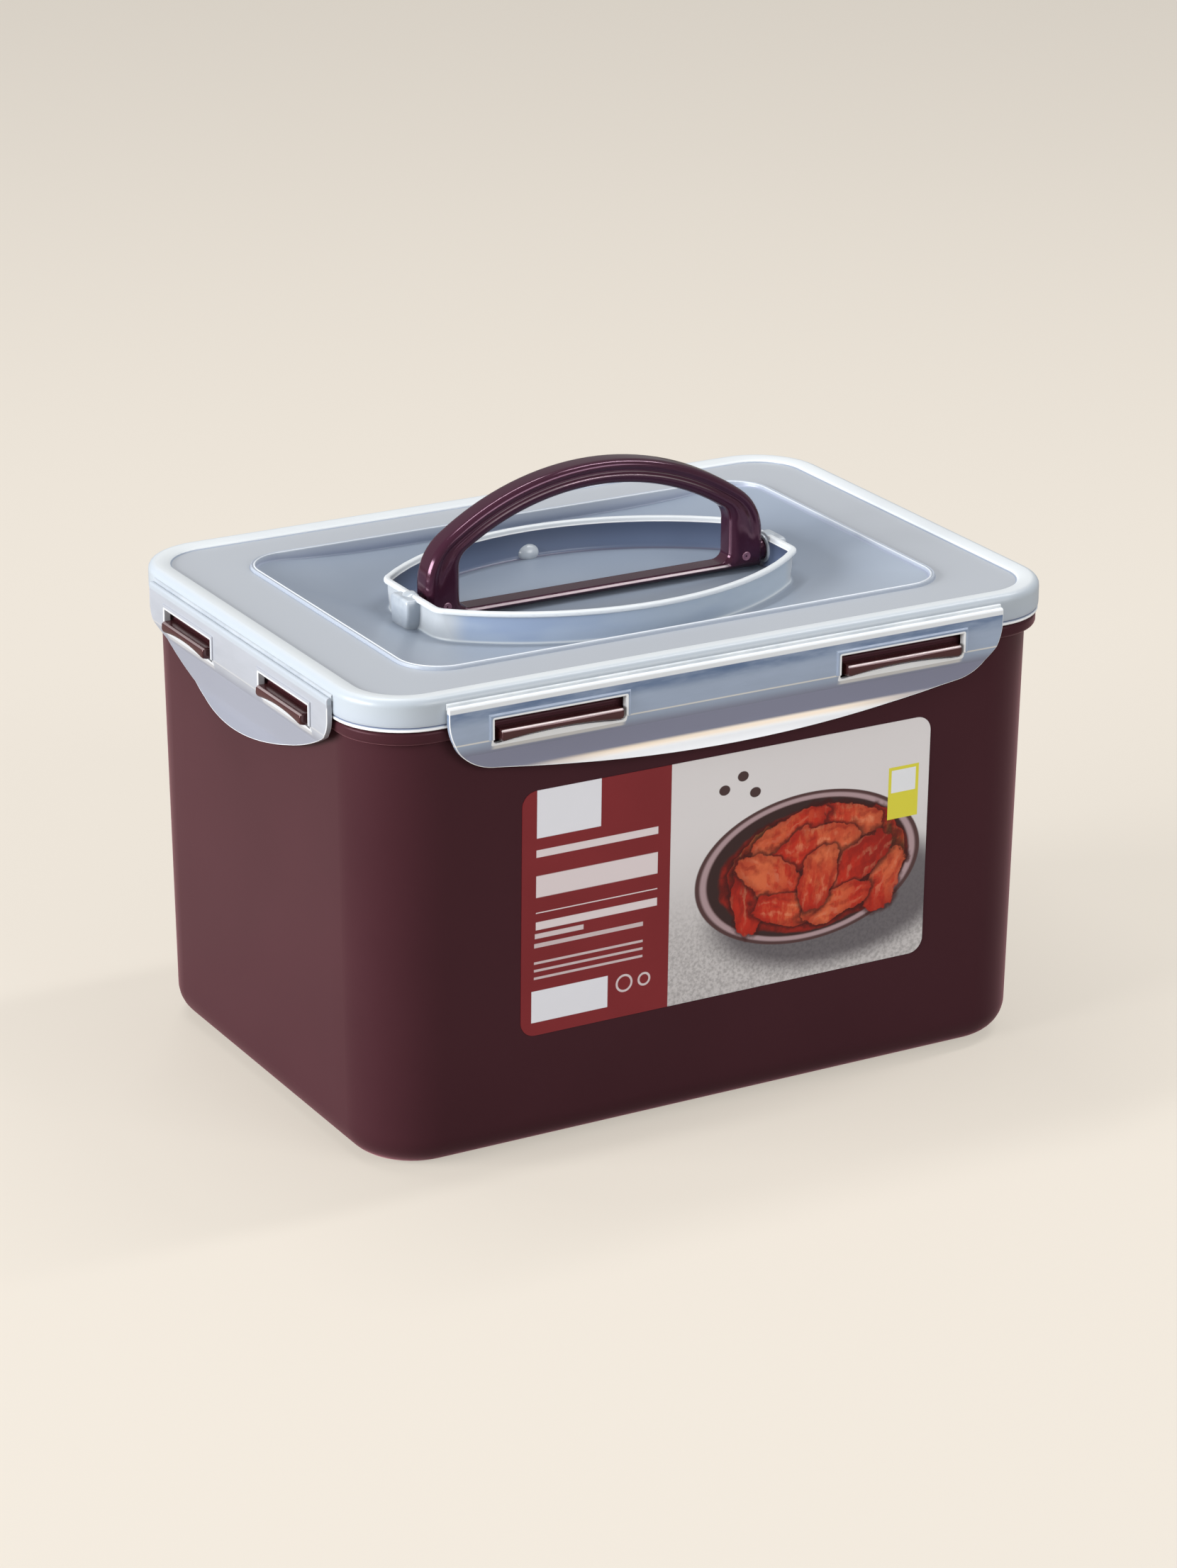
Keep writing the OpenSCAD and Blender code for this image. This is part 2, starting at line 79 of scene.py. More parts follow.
class Value:
    """A shader socket that takes part in Python arithmetic; each operator adds a Math node."""

    def __init__(self, shade, socket):
        self.shade, self.socket = shade, socket

    def math(self, operation, *terms):
        return self.shade.node("ShaderNodeMath", {"operation": operation}, dict(enumerate(terms)))

    __add__, __radd__ = joining("ADD")
    __sub__, __rsub__ = joining("SUBTRACT")
    __mul__, __rmul__ = joining("MULTIPLY")
    __truediv__, __rtruediv__ = joining("DIVIDE")

    def __abs__(self):
        return self.math("ABSOLUTE", self)

    def high(self, other):
        return self.math("MAXIMUM", self, other)

    def low(self, other):
        return self.math("MINIMUM", self, other)

    def root(self):
        return self.math("SQRT", self)

    def wave(self):
        return self.math("SINE", self)

    def ramp(self, start, end):
        """0 below start, 1 above end, smooth between; start may be above end."""
        return self.shade.node("ShaderNodeMapRange", {"interpolation_type": "SMOOTHSTEP"},
                               {"Value": self, "From Min": start, "From Max": end})

    def between(self, low, high, soft=0.1):
        """1 between two values, 0 outside them, over a soft edge."""
        return self.ramp(low - soft, low + soft) * self.ramp(high + soft, high - soft)


class Shade:
    """One material, or world, under construction."""

    def __init__(self, name, kind="materials"):
        self.material = getattr(bpy.data, kind).new(name)
        self.material.use_nodes = True
        self.tree = self.material.node_tree
        self.tree.nodes.clear()

    def node(self, kind, settings=None, inputs=None, output=0):
        """Adds a node: its settings first, then the values or links of its sockets."""
        made = self.tree.nodes.new(kind)
        for key, value in (settings or {}).items():
            setattr(made, key, value)
        for key, value in (inputs or {}).items():
            if isinstance(value, Value):
                self.tree.links.new(value.socket, made.inputs[key])
            else:
                made.inputs[key].default_value = value
        return Value(self, made.outputs[output]) if made.outputs else None

    def place(self):
        """The object's own coordinates in millimetres, as three values."""
        coords = self.node("ShaderNodeTexCoord", output="Object")
        apart = self.node("ShaderNodeSeparateXYZ", None, {0: coords}).socket.node
        return [Value(self, axis) * 1000.0 for axis in apart.outputs]

    def mix(self, factor, first, second):
        """Colour mix: first where factor is 0, second where it is 1."""
        return self.node("ShaderNodeMix", {"data_type": "RGBA"}, {0: factor, 6: first, 7: second}, 2)

    def paint(self, ground, *coats):
        """Lays coats over a ground, each given as the mask of where it lies and its colour."""
        for mask, colour in coats:
            ground = self.mix(mask, ground, colour)
        return ground

    def noise(self, scale, detail=2.0, roughness=0.5, stretch=(1, 1, 1)):
        coords = self.node("ShaderNodeTexCoord", output="Object")
        mapped = self.node("ShaderNodeMapping", None, {"Vector": coords, "Scale": stretch})
        return self.node("ShaderNodeTexNoise", None,
                         {"Vector": mapped, "Scale": scale, "Detail": detail, "Roughness": roughness})

    @staticmethod
    def beyond(u, v):
        """Distance outside a rectangle, negative inside, from the distances beyond its two sides."""
        return (u.high(0.0) * u.high(0.0) + v.high(0.0) * v.high(0.0)).root() + u.high(v).low(0.0)

    def grain(self, height, strength):
        """The bump of a moulded grain, from a height in 0..1."""
        return self.node("ShaderNodeBump", None, {"Height": height, "Strength": strength, "Distance": GRAIN_DEPTH})

    def plastic(self, **sockets):
        """The surface itself; sockets are named as the shader names them, with _ for a space."""
        surface = self.node("ShaderNodeBsdfPrincipled", None,
                            {key.replace("_", " "): value for key, value in sockets.items()})
        self.node("ShaderNodeOutputMaterial", None, {"Surface": surface})
        return self.material

    def frosted(self, colour, roughness, grain, coat, coat_roughness):
        """The surface of frosted plastic: finely grained, with a thin gloss over it."""
        fine = self.noise(3200.0, 2.0, 0.6)
        return self.plastic(Base_Color=colour, Roughness=roughness + (fine - 0.5) * 0.06,
                            Normal=self.grain(fine, grain), IOR=1.49, Coat_Weight=coat,
                            Coat_Roughness=coat_roughness)


# ---- Mesh helpers ------------------------------------------------------------

CORNER, LONG, SHORT = 12, 20, 14  # segments round a corner, along a long side, along a short side


def part_way(first, last, share):
    """The number a share of the way from first to last."""
    return first + (last - first) * share


def smooth(value, start, end):
    t = min(1.0, max(0.0, (value - start) / (end - start)))
    return t * t * (3 - 2 * t)


def arc(cx, cy, radius, start, end, steps):
    """Points along an arc, angles in degrees."""
    angles = [math.radians(part_way(start, end, i / steps)) for i in range(steps + 1)]
    return [(cx + radius * math.cos(a), cy + radius * math.sin(a)) for a in angles]


def lift(points, z):
    """Gives flat points their height: a number, or a function of x."""
    return [Vector((x, y, z(x) if callable(z) else z)) for x, y in points]


def quadrants(corner, long_side):
    """Points of a loop that is alike in its four quadrants, counter-clockwise from the right side.

    corner is a list of points in the first quadrant; long_side the points that follow it up to
    the middle, where x is 0. The short sides are straight and are filled in between.
    """
    first = corner + long_side
    reach, end = corner[0]
    half = first + [(-x, y) for x, y in reversed(first[:-1])]
    half += [(-reach, end * (1 - 2 * i / SHORT)) for i in range(1, SHORT)]
    return half + [(-x, -y) for x, y in half]


def rect_loop(centre, r, z):
    """A rounded rectangle given by its corner centre and corner radius, at height z."""
    cx, cy = centre
    side = [(cx * (1 - 2 * i / LONG), cy + r) for i in range(1, LONG // 2 + 1)]
    return lift(quadrants(arc(cx, cy, r, 0, 90, CORNER), side), z)


def rect_loops(centre, *section):
    """Rounded rectangles about the same corner centre, from a section of (corner radius, height)."""
    return [rect_loop(centre, r, z) for r, z in section]


def add_piece(name, mesh, sharp):
    """Puts a mesh into the scene, smooth but for its sharp edges."""
    mesh.shade_smooth()
    mesh.set_sharp_from_angle(angle=math.radians(sharp))
    piece = bpy.data.objects.new(name, mesh)
    bpy.context.scene.collection.objects.link(piece)
    even = piece.modifiers.new("Even shading", "WEIGHTED_NORMAL")
    even.keep_sharp = True
    return piece


def finish_mesh(name, bm, sharp=32):
    """Turns a bmesh in millimetres into an object in metres."""
    bmesh.ops.remove_doubles(bm, verts=bm.verts, dist=0.002)
    bmesh.ops.dissolve_degenerate(bm, dist=0.002, edges=bm.edges)
    bmesh.ops.recalc_face_normals(bm, faces=bm.faces)
    bmesh.ops.scale(bm, vec=(MM, MM, MM), verts=bm.verts)
    mesh = bpy.data.meshes.new(name)
    bm.to_mesh(mesh)
    bm.free()
    return add_piece(name, mesh, sharp)


def loft(name, loops, close=False, sharp=32):
    """Joins closed loops of the same count by quads; close joins the last to the first, else both are capped."""
    bm = bmesh.new()
    rings = [[bm.verts.new(p) for p in loop] for loop in loops]
    for low, high in zip(rings, rings[1:] + (rings[:1] if close else [])):
        for i in range(len(low)):
            j = (i + 1) % len(low)
            bm.faces.new((low[i], low[j], high[j], high[i]))
    if not close:
        bm.faces.new(list(reversed(rings[0])))
        bm.faces.new(rings[-1])
    return finish_mesh(name, bm, sharp)


def lathe(name, side, profile, centre, axis="X", steps=40, close=False):
    """Turns a profile of (along, radius) about the X or Y axis through centre; side -1 mirrors it."""
    loops = []
    for along, radius in profile:
        ring = arc(0.0, 0.0, radius, 0, 360, steps)[:-1]
        places = [(side * along, u, v) if axis == "X" else (v, side * along, u) for u, v in ring]
        loops.append([centre + Vector(place) for place in places])
    return loft(name, loops, close)


def on_side(turn, x, section):
    """A section of (outward, z) stood across a side of the object, at x along it; turn 0 is the front."""
    spin = Matrix.Rotation(turn, 3, "Z")
    return [spin @ Vector((x, -out, z)) for out, z in section]


def soften(piece, width, angle, material=-1):
    """Rounds the edges of a piece, before its shading is evened out; they may take a material of their own."""
    bevel = piece.modifiers.new("Soft edges", "BEVEL")
    bevel.width = width * MM
    bevel.segments = 3
    bevel.limit_method = "ANGLE"
    bevel.angle_limit = math.radians(angle)
    bevel.harden_normals = material < 0  # with a material of their own, they keep the soft shading
    bevel.material = material
    piece.modifiers.move(len(piece.modifiers) - 1, 0)
    return piece


def copy_of_node(node, name):
    """A new object with a CAD node's mesh: welded, cleared of needless edges, and softened."""
    mesh = bpy.data.objects[node].data.copy()
    mesh.name = name
    bm = bmesh.new()
    bm.from_mesh(mesh)
    bmesh.ops.remove_doubles(bm, verts=bm.verts, dist=0.01 * MM)
    bmesh.ops.dissolve_limit(bm, angle_limit=math.radians(0.6), verts=bm.verts, edges=bm.edges)
    bm.to_mesh(mesh)
    bm.free()
    mesh.materials.clear()
    return soften(add_piece(name, mesh, sharp=28), width=0.36, angle=36, material=1)


def dress(piece, material, body, slot, *nodes):
    """Gives a piece its material and body, and hides the CAD nodes it stands for; slot is not used."""
    piece.data.materials.clear()
    piece.data.materials.append(material)
    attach(piece, body)
    if nodes:
        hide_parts(*nodes)
    return piece


def paint_node(node, material):
    """Gives a CAD node that stays as it is a finish of its own."""
    for slot in bpy.data.objects[node].material_slots:
        slot.material = material


# ---- Sizes, in millimetres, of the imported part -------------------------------

BODY, LID, PANEL = (95.3, 58.7), (99.6, 63.0), (79.9, 48.3)  # corner centres
FOOT_R, FOOT_CENTRE_R = 10.5, 12.07
BODY_H, WALL, FLOOR = 147.8, 2.2, 2.6
RING_Z, PANEL_FOOT = 152.5, 145.0
WELL_HALF, WELL_R, WELL_SHIFT = 65.1, 92.96, 48.56
WELL_FOOT, WELL_BRIM = 143.2, 155.4
PIVOT_Z, PIN_R, HANDLE_HALF = 150.5, 5.1, 4.8
SLOT_Z, SLOT_RISE = 140.8, 3.9  # middle and half height of the flaps' slots

# A long or a short side: reach of its hinge, lengths of its hinge strip and lugs, and the slots of its flap,
# each at a distance from the middle and with a half length
Side = namedtuple("Side", "hinge strip lug slot slot_half")
LONG_SIDE, SHORT_SIDE = Side(87.0, 194.0, 41.2, 60.0, 22.2), Side(123.6, 125.6, 30.4, 34.0, 16.8)
# and the four of them, with their turns about the vertical
SIDES = {"front": (0.0, LONG_SIDE), "back": (math.pi, LONG_SIDE),
         "right": (math.pi / 2, SHORT_SIDE), "left": (-math.pi / 2, SHORT_SIDE)}
ENDS, FACES = (("left", -1), ("right", 1)), (("front", -1), ("back", 1))  # with the sign of x or y there


def wall_reach(z):
    """Reach of the container's outer wall beyond its corner centres at a height."""
    return 22.4 + z * 0.016233


def well_loop(offset, fillet, z):
    """The carrying well's plan, moved out by offset, with its corners rounded."""
    half, radius = WELL_HALF + offset, WELL_R + offset
    across = half - fillet
    up = math.sqrt((radius - fillet) ** 2 - across ** 2)
    turn = math.degrees(math.atan2(up, across))
    corner = arc(across, up - WELL_SHIFT, fillet, 0, turn, CORNER)
    side = arc(0.0, -WELL_SHIFT, radius, turn, 90, LONG // 2)[1:-1] + [(0.0, radius - WELL_SHIFT)]
    return lift(quadrants(corner, side), z)


def panel_rim(x):
    """Height of the panel where it meets its wall: lowest along the middle of the long sides."""
    rest = min(1.0, max(0.0, (abs(x) - 40) / 52))
    return 152.3 - 3.1 * (1 - rest * rest)


def container_shell():
    """The box: foot ring, leaning walls, the bead below the skirt, and the cavity."""
    def wall(*heights, out=0.0):
        return [(wall_reach(z) + out, z) for z in heights]

    top = wall_reach(BODY_H)
    return loft("container_shell", [
        *rect_loops(BODY, (4.2, 0.8), (4.9, 0.75), (5.07, 0.5), (5.3, 0.06), (5.6, 0.0),
                    *arc(FOOT_CENTRE_R, FOOT_R, FOOT_R, -90, 0, 12), *wall(13, 20, 40, 70, 100, 125, 136, 138.4),
                    *wall(139.2, out=0.02), *wall(139.3, out=0.3)),
        *rect_loops(LID, *arc(20.8, 140.5, 1.2, -90, 0, 6), *arc(20.8, 142.2, 1.2, 0, 90, 6)),
        *rect_loops(BODY, *wall(143.4, out=0.3), *wall(143.6, 145.5, 147.2),
                    (top - 0.15, 147.65), (top - 0.6, BODY_H), (top - 1.6, BODY_H), (top - WALL + 0.15, 147.65),
                    *wall(147.2, 140, 110, 80, 50, 25, 14, out=-WALL),
                    *arc(FOOT_CENTRE_R, FOOT_R + 0.4, FOOT_R - WALL, 0, -90, 10), (6.0, FLOOR), (0.5, FLOOR))])


def lug_piece(name, turn, kind, way):
    """A locking lug at one or the other end of a side: straight on top, arched below, its nose rounded."""
    tip, back, top, base = kind.hinge + 3.2, kind.hinge - 4.6, 141.6, 137.4
    length, half, rounded = kind.lug, kind.lug / 2, 1.6
    start = [-half + gap for gap in (0.0, 0.12, 0.4, 0.9, rounded)]
    middle = [-half + rounded + (length - 2 * rounded) * i / 16 for i in range(1, 16)]
    loops = []
    for x in start + middle + [-x for x in reversed(start)]:
        gap = half - abs(x)
        inset, raised = (r - math.sqrt(r ** 2 - max(0.0, r - gap) ** 2) for r in (0.45, 1.3))
        low = base + 1.4 * (1 - (x / half) ** 2) + raised
        nose, crest = tip - inset, top - inset
        section = [(back, top - inset * 0.6), (nose - 1.2, top - inset * 0.6), (nose - 0.74, crest - 0.09),
                   (nose - 0.35, crest - 0.35), (nose - 0.09, crest - 0.74), (nose, low + 1.5),
                   (nose - 0.16, low + 0.95), (nose - 0.6, low + 0.55), (nose - 1.6, low + 0.22),
                   (nose - 3.0, low), (back, low)]
        loops.append(on_side(turn, x + way * kind.slot, section))
    return loft(name, loops, sharp=40)


def lid_shell():
    """The lid in one closed skin: skirt, border, sunk panel and well above, plug below."""
    def funnel(foot, rim, shares, drop=0.0):
        return [[Vector((part_way(a.x, b.x, t), part_way(a.y, b.y, t),
                         part_way(PANEL_FOOT, panel_rim(b.x), t ** 1.1) - drop)) for a, b in zip(foot, rim)]
                for t in shares]

    def wall(r, share, low=0.0):
        """A loop a share of the way up from the panel's rim to the foot of the bead."""
        return rect_loop(PANEL, r, lambda x: part_way(panel_rim(x) + low, 152.95, share))

    def wells(fillet, *section):
        return [well_loop(d, fillet(d, z), z) for d, z in section]

    def foot_fillet(d, z):
        """Corners of the well's outside: wide at its foot, tighter towards its rim."""
        return 6.5 + d + 8.5 * min(1.0, (153.0 - min(z, 153.0)) / 8.0) ** 2

    crown, crown_end = 16.66, 20.4
    loops = [well_loop(-2.6, 1.2, WELL_FOOT), well_loop(0.6, 3.4, WELL_FOOT), well_loop(1.2, 3.8, WELL_FOOT)]
    loops += funnel(well_loop(1.6, 4.0, 0), rect_loop(PANEL, 13.6, 0), (0.05, 0.3, 0.6, 0.85, 1.0), 1.9)
    loops.append(rect_loop(PANEL, 14.7, 150.62))
    # plug, seal groove and skirt, then the border with its step down to the ring
    loops += rect_loops(
        LID, (14.32, 150.6), (14.32, 141.5), (14.5, 141.25), (15.6, 141.25), (15.82, 141.5), (15.82, 150.2),
        (21.2, 150.2), (21.2, 144.0), (21.35, 143.75), (22.1, 143.7), (22.42, 143.76), (22.58, 143.95),
        (22.62, 144.3), (22.6, 144.6), (22.5, 144.78), (22.36, 144.86), (22.34, 145.02), (22.5, 145.16),
        (22.66, 145.4), (22.76, 146.0), (22.8, 147.0), (22.8, 148.6), (22.8, 151.2),
        *arc(crown_end, 151.4, 2.4, 0, 90, 9),
        *((r, 153.8 - crown + math.sqrt(crown ** 2 - (crown_end - r) ** 2))
          for r in (19.4, 18.4, 17.4, 16.6, 16.2)),
        (15.98, 153.0), (15.86, 152.86), (15.5, 152.56), (15.36, RING_Z), (15.0, RING_Z))
    sill, brim = rect_loop(LID, 15.0, RING_Z), rect_loop(PANEL, 15.3, RING_Z)
    loops += [[a.lerp(b, t) for a, b in zip(sill, brim)] for t in (0.2, 0.5, 0.8)]
    # the bead round the panel has two soft ridges, and the panel's wall drops from it
    loops += rect_loops(PANEL, (15.0, RING_Z), (14.75, 152.48), (14.64, 152.54), (14.6, 152.75), (14.58, 153.2),
                        (14.5, 153.42), (14.34, 153.54), (14.14, 153.5), (13.98, 153.38), (13.82, 153.36),
                        (13.68, 153.42), (13.5, 153.57), (13.34, 153.6), (13.2, 153.52), (13.12, 153.3))
    loops += [wall(13.08, 1.0), wall(13.0, 0.6), wall(12.94, 0.25), wall(12.9, 0.06, 0.12), wall(12.8, 0.0, 0.1),
              wall(12.6, 0.0, 0.02)]
    loops += funnel(well_loop(0.3, 15.5, 0), rect_loop(PANEL, 12.4, 0),
                    (0.985, 0.93, 0.85, 0.7, 0.55, 0.4, 0.27, 0.15, 0.06, 0.0))
    # well: its thin wall outside, the lip round its rim, and its inside down to the floor
    loops += wells(foot_fillet, (0.05, 145.02), (-0.3, 145.1), (-0.6, 145.28), (-0.85, 145.6), (-1.0, 146.1),
                   (-1.08, 146.9), (-1.1, 147.9), (-1.1, 149.0), (-1.1, 150.2), (-1.1, 151.5), (-1.1, 152.5),
                   (-1.1, 153.45), (-1.0, 153.66), (-0.75, 153.8), (-0.3, 153.86), (-0.05, 153.98), (0.08, 154.2),
                   (0.1, 154.55), (0.08, 154.9), (-0.06, 155.2), (-0.3, 155.36), (-0.65, WELL_BRIM),
                   (-1.4, WELL_BRIM))
    loops += wells(lambda d, z: 4.5, (-1.75, 155.34), (-1.95, 155.16), (-2.02, 154.85), (-2.02, 154.3),
                   (-2.1, 154.1), (-2.26, 153.95), (-2.3, 153.7), (-2.3, 151.0), (-2.3, 148.0), (-2.32, 146.4))
    loops += wells(lambda d, z: 4.2, (-2.4, 145.9), (-2.62, 145.5), (-3.0, 145.22), (-3.6, 145.1), (-6.0, 145.1),
                   (-14.0, 145.1))
    return loft("lid_shell", loops, sharp=42)


def hinge_strip(name, turn, kind):
    """The strip that carries a flap's hinge on the skirt."""
    hinge, half = kind.hinge, kind.strip / 2
    section = ((hinge - 0.55, 149.95), (hinge - 0.55, 151.1), (hinge - 0.9, 151.4), (hinge - 3.4, 151.8),
               (hinge - 3.4, 147.7), (hinge - 1.25, 147.7), (hinge - 1.2, 149.3))
    strip = loft(name, [on_side(turn, -half, section), on_side(turn, half, section)], sharp=60)
    return soften(strip, width=0.15, angle=28)


def socket_piece(name, side):
    """A cup at one end of the well, in which the handle's pin turns."""
    profile = ((62.2, 3.7), (62.2, 4.3), (62.32, 4.6), (62.6, 4.72), (62.9, 4.78), (63.0, 5.1), (63.2, 5.35),
               (65.0, 5.4), (67.0, 4.4), (67.0, 0.05), (66.0, 0.05), (66.0, 3.56), (62.3, 3.56))
    return lathe(name, side, profile, Vector((0, 0, PIVOT_Z)), close=True)


def socket_block(name, side):
    """The block outside the well's end wall that the cup stands in, down to the panel."""
    foot, middle = 144.6, 149.5
    outline = [(4.4, foot), (5.0, 146.4), (5.7, middle), (5.8, 152.6), (5.7, 153.9), (5.3, 154.5), (4.6, 154.8),
               (2.4, 154.9)]
    outline += [(-y, z) for y, z in reversed(outline)]
    loops = []
    for reach, share in ((63.6, 1.0), (67.6, 1.0), (68.1, 0.98), (68.45, 0.93), (68.6, 0.87)):
        loops.append([Vector((side * reach, y * share, max(foot, part_way(middle, z, share))))
                      for y, z in outline])
    return loft(name, loops, sharp=40)


def snap_nub(name, side):
    """A bump on the well's wall that the folded handle snaps past."""
    radius, wall, limit, middle = 3.2, 43.0, 42.9, 146.5
    turns = [2 * math.pi * k / 28 for k in range(28)]
    loops = []
    for reach, rise in arc(0.0, middle, radius, -90, 90, 12):
        r = max(0.02, reach)
        loops.append([Vector((1.25 * r * math.cos(b), side * min(limit, wall + r * math.sin(b) * side), rise))
                      for b in turns])
    return loft(name, loops, sharp=60)


# Steps of an arched outline: round its crown, round its shoulder, down its leg, round its corner, along its foot
ON_CROWN, ON_SHOULDER, ON_LEG, ON_CORNER, ON_FOOT = 16, 9, 8, 5, 10
LEG_END = ON_CROWN + ON_SHOULDER + ON_LEG


def arch_outline(top, crown, half, shoulder, foot, corner):
    """Half of an arched outline, from the middle of its top to the middle of its foot, as (x, z)."""
    crown_z, sx, bottom = top - crown, half - shoulder, foot + corner
    sz = crown_z + math.sqrt((crown - shoulder) ** 2 - sx * sx)
    meet = math.degrees(math.atan2(sz - crown_z, sx))
    return (arc(0.0, crown_z, crown, 90, meet, ON_CROWN)[:-1] + arc(sx, sz, shoulder, meet, 0, ON_SHOULDER)[:-1]
            + [(half, part_way(sz, bottom, i / ON_LEG)) for i in range(ON_LEG)]
            + arc(half - corner, bottom, corner, 0, -90, ON_CORNER)[:-1]
            + [((half - corner) * (1 - i / ON_FOOT), foot) for i in range(ON_FOOT + 1)])


# Half sections of the handle, from its outer edge to its inner one, as (reach, half thickness)
CROWN_SECTION = ((0.0, 2.2), (0.2, 3.2), (0.76, 4.04), (1.5, 4.5), (2.1, 4.55), (2.6, 4.3), (3.1, 4.0),
                 (3.5, 3.92), (3.64, 4.0), (3.74, 4.2), (3.84, 4.36), (4.0, 4.4), (4.66, 4.42), (4.76, 4.5),
                 (4.84, 4.66), (4.94, 4.78), (5.3, 4.8), (6.26, 4.61), (7.07, 4.07), (7.61, 3.26), (7.8, 2.3))
LEG_SECTION = ((0.0, 2.2), (0.2, 3.2), (0.76, 4.04), (1.5, 4.55), (2.2, 4.68), (2.8, 4.5), (3.4, 4.2), (4.0, 4.05),
               (4.6, 4.15), (5.2, 4.4), (5.8, 4.62), (6.4, 4.74), (7.2, 4.8), (7.7, 4.8), (8.2, 4.8), (9.0, 4.73),
               (9.9, 4.5), (10.7, 4.1), (11.35, 3.5), (11.8, 2.75), (12.0, 1.9))
BAR_SECTION = ((0.0, 0.6), (0.1, 1.0), (0.3, 1.72), (0.6, 2.4), (0.9, 2.9), (1.2, 3.3), (1.45, 3.6), (1.6, 3.8),
               (1.7, 3.95), (1.78, 4.08), (1.85, 4.16), (1.95, 4.2), (2.0, 4.2), (2.1, 4.19), (2.25, 4.13),
               (2.45, 4.03), (2.65, 3.9), (2.85, 3.65), (3.05, 3.35), (3.16, 3.08), (3.2, 2.8))


def handle_bow():
    """The folding handle: a channel and two fine ridges on each face, a bar across its foot."""
    outer = arch_outline(top=38.9, crown=90.5, half=60.6, shoulder=18.4, foot=-5.1, corner=0.6)
    inner = arch_outline(top=31.1, crown=82.7, half=48.6, shoulder=6.0, foot=-1.9, corner=3.2)
    last = len(outer) - 1
    crown, leg, bar = ([(r / s[-1][0], y) for r, y in s] for s in (CROWN_SECTION, LEG_SECTION, BAR_SECTION))
    loops = []
    for k in list(range(last + 1)) + [-i for i in range(last - 1, 0, -1)]:
        i, mirror = abs(k), -1 if k < 0 else 1
        (ox, oz), (ix, iz) = outer[i], inner[i]
        ridge = 1 - smooth(i, ON_CROWN - 3, ON_CROWN + ON_SHOULDER)
        foot = smooth(i, LEG_END, LEG_END + ON_CORNER)
        hollow = smooth(min(oz, iz), 0.5, 11.0)
        half = []
        for (ct, cy), (lt, ly), (bt, by) in zip(crown, leg, bar):
            flat = part_way(HANDLE_HALF, ly, hollow) if 0.1 < lt < 0.85 else ly
            half.append((part_way(part_way(lt, ct, ridge), bt, foot),
                         part_way(part_way(flat, cy, ridge), by, foot)))
        loop = []
        for t, y in half + [(t, -y) for t, y in reversed(half)]:
            z = part_way(oz, iz, t)
            if z < 0:
                limit = math.sqrt(max(0.0, PIN_R ** 2 - z * z))
                y = max(-limit, min(limit, y))
            loop.append(Vector((mirror * part_way(ox, ix, t), y, z + PIVOT_Z)))
        loops.append(loop)
    return loft("handle_bow", loops, close=True, sharp=50)


def pin_mark(name, x, side):
    """The small cupped mark in a leg's face, level with the pivot."""
    profile = ((-0.8, 1.5), (0.12, 1.5), (0.3, 1.42), (0.36, 1.25), (0.3, 1.05), (0.14, 0.6), (0.06, 0.05))
    return lathe(name, side, profile, Vector((x, side * 4.7, PIVOT_Z)), axis="Y", steps=24)


def handle_pin(name, side):
    """The pin that the handle turns on, its end eased."""
    profile = ((58.0, 3.4), (59.9, 3.45), (60.1, 3.5), (64.9, 3.5), (65.25, 3.35), (65.4, 3.0))
    return lathe(name, side, profile, Vector((0, 0, PIVOT_Z)))


# ---- Finishes ----------------------------------------------------------------


def wine_plastic(name, base, rough, grain, level, tint, sheen=0.0, painted_highlight=None):
    """Opaque coloured plastic: a faint moulded grain and a barely uneven colour.

    The last argument, a function of x, y and z, gives 1 on the edges where a pale highlight is painted.
    """
    shade = Shade(name)
    tone = shade.noise(18.0, 3.0, 0.55).ramp(0.3, 0.7)
    colour = shade.mix(tone, toned(base, 0.95), toned(base, 1.04))
    # painted highlight: pale along the edges that the last argument picks out
    if painted_highlight:
        colour = shade.mix(painted_highlight(*shade.place()) * (0.6 + 0.4 * tone), colour, srgb(232, 220, 220))
    fine = shade.noise(2600.0, 2.0, 0.6)
    return shade.plastic(Base_Color=colour, Roughness=rough + (fine - 0.5) * 0.04, Normal=shade.grain(fine, grain),
                         IOR=1.5, Specular_IOR_Level=level, Specular_Tint=tint, Sheen_Weight=sheen,
                         Sheen_Tint=(1.0, 0.42, 0.5, 1), Sheen_Roughness=0.35)


def lug_highlight(x, y, z):
    """Painted highlight along the front edge on top of the lugs."""
    out = (abs(x) - SHORT_SIDE.hinge).high(abs(y) - LONG_SIDE.hinge)
    return out.between(2.35, 3.0, 0.15) * z.ramp(141.0, 141.25) * (1.0 - 0.7 * abs(x).ramp(118.0, 120.0))


def bar_highlight(x, y, z):
    """Painted highlight along the upper edges of the handle's bar, and faintly along the ridges of its bow."""
    bow = (x * x + (z - 98.9) * (z - 98.9)).root()
    ridges = bow.between(85.5, 85.8, 0.12) + bow.between(86.6, 86.85, 0.12)
    along = abs(y).ramp(4.0, 4.3) * abs(x).ramp(50.0, 30.0) * z.ramp(170.0, 176.0)
    bar = abs(y).between(3.7, 4.15, 0.15) * z.between(147.6, 148.4, 0.2) * abs(x).ramp(49.0, 46.0)
    return bar + ridges * along * 0.22


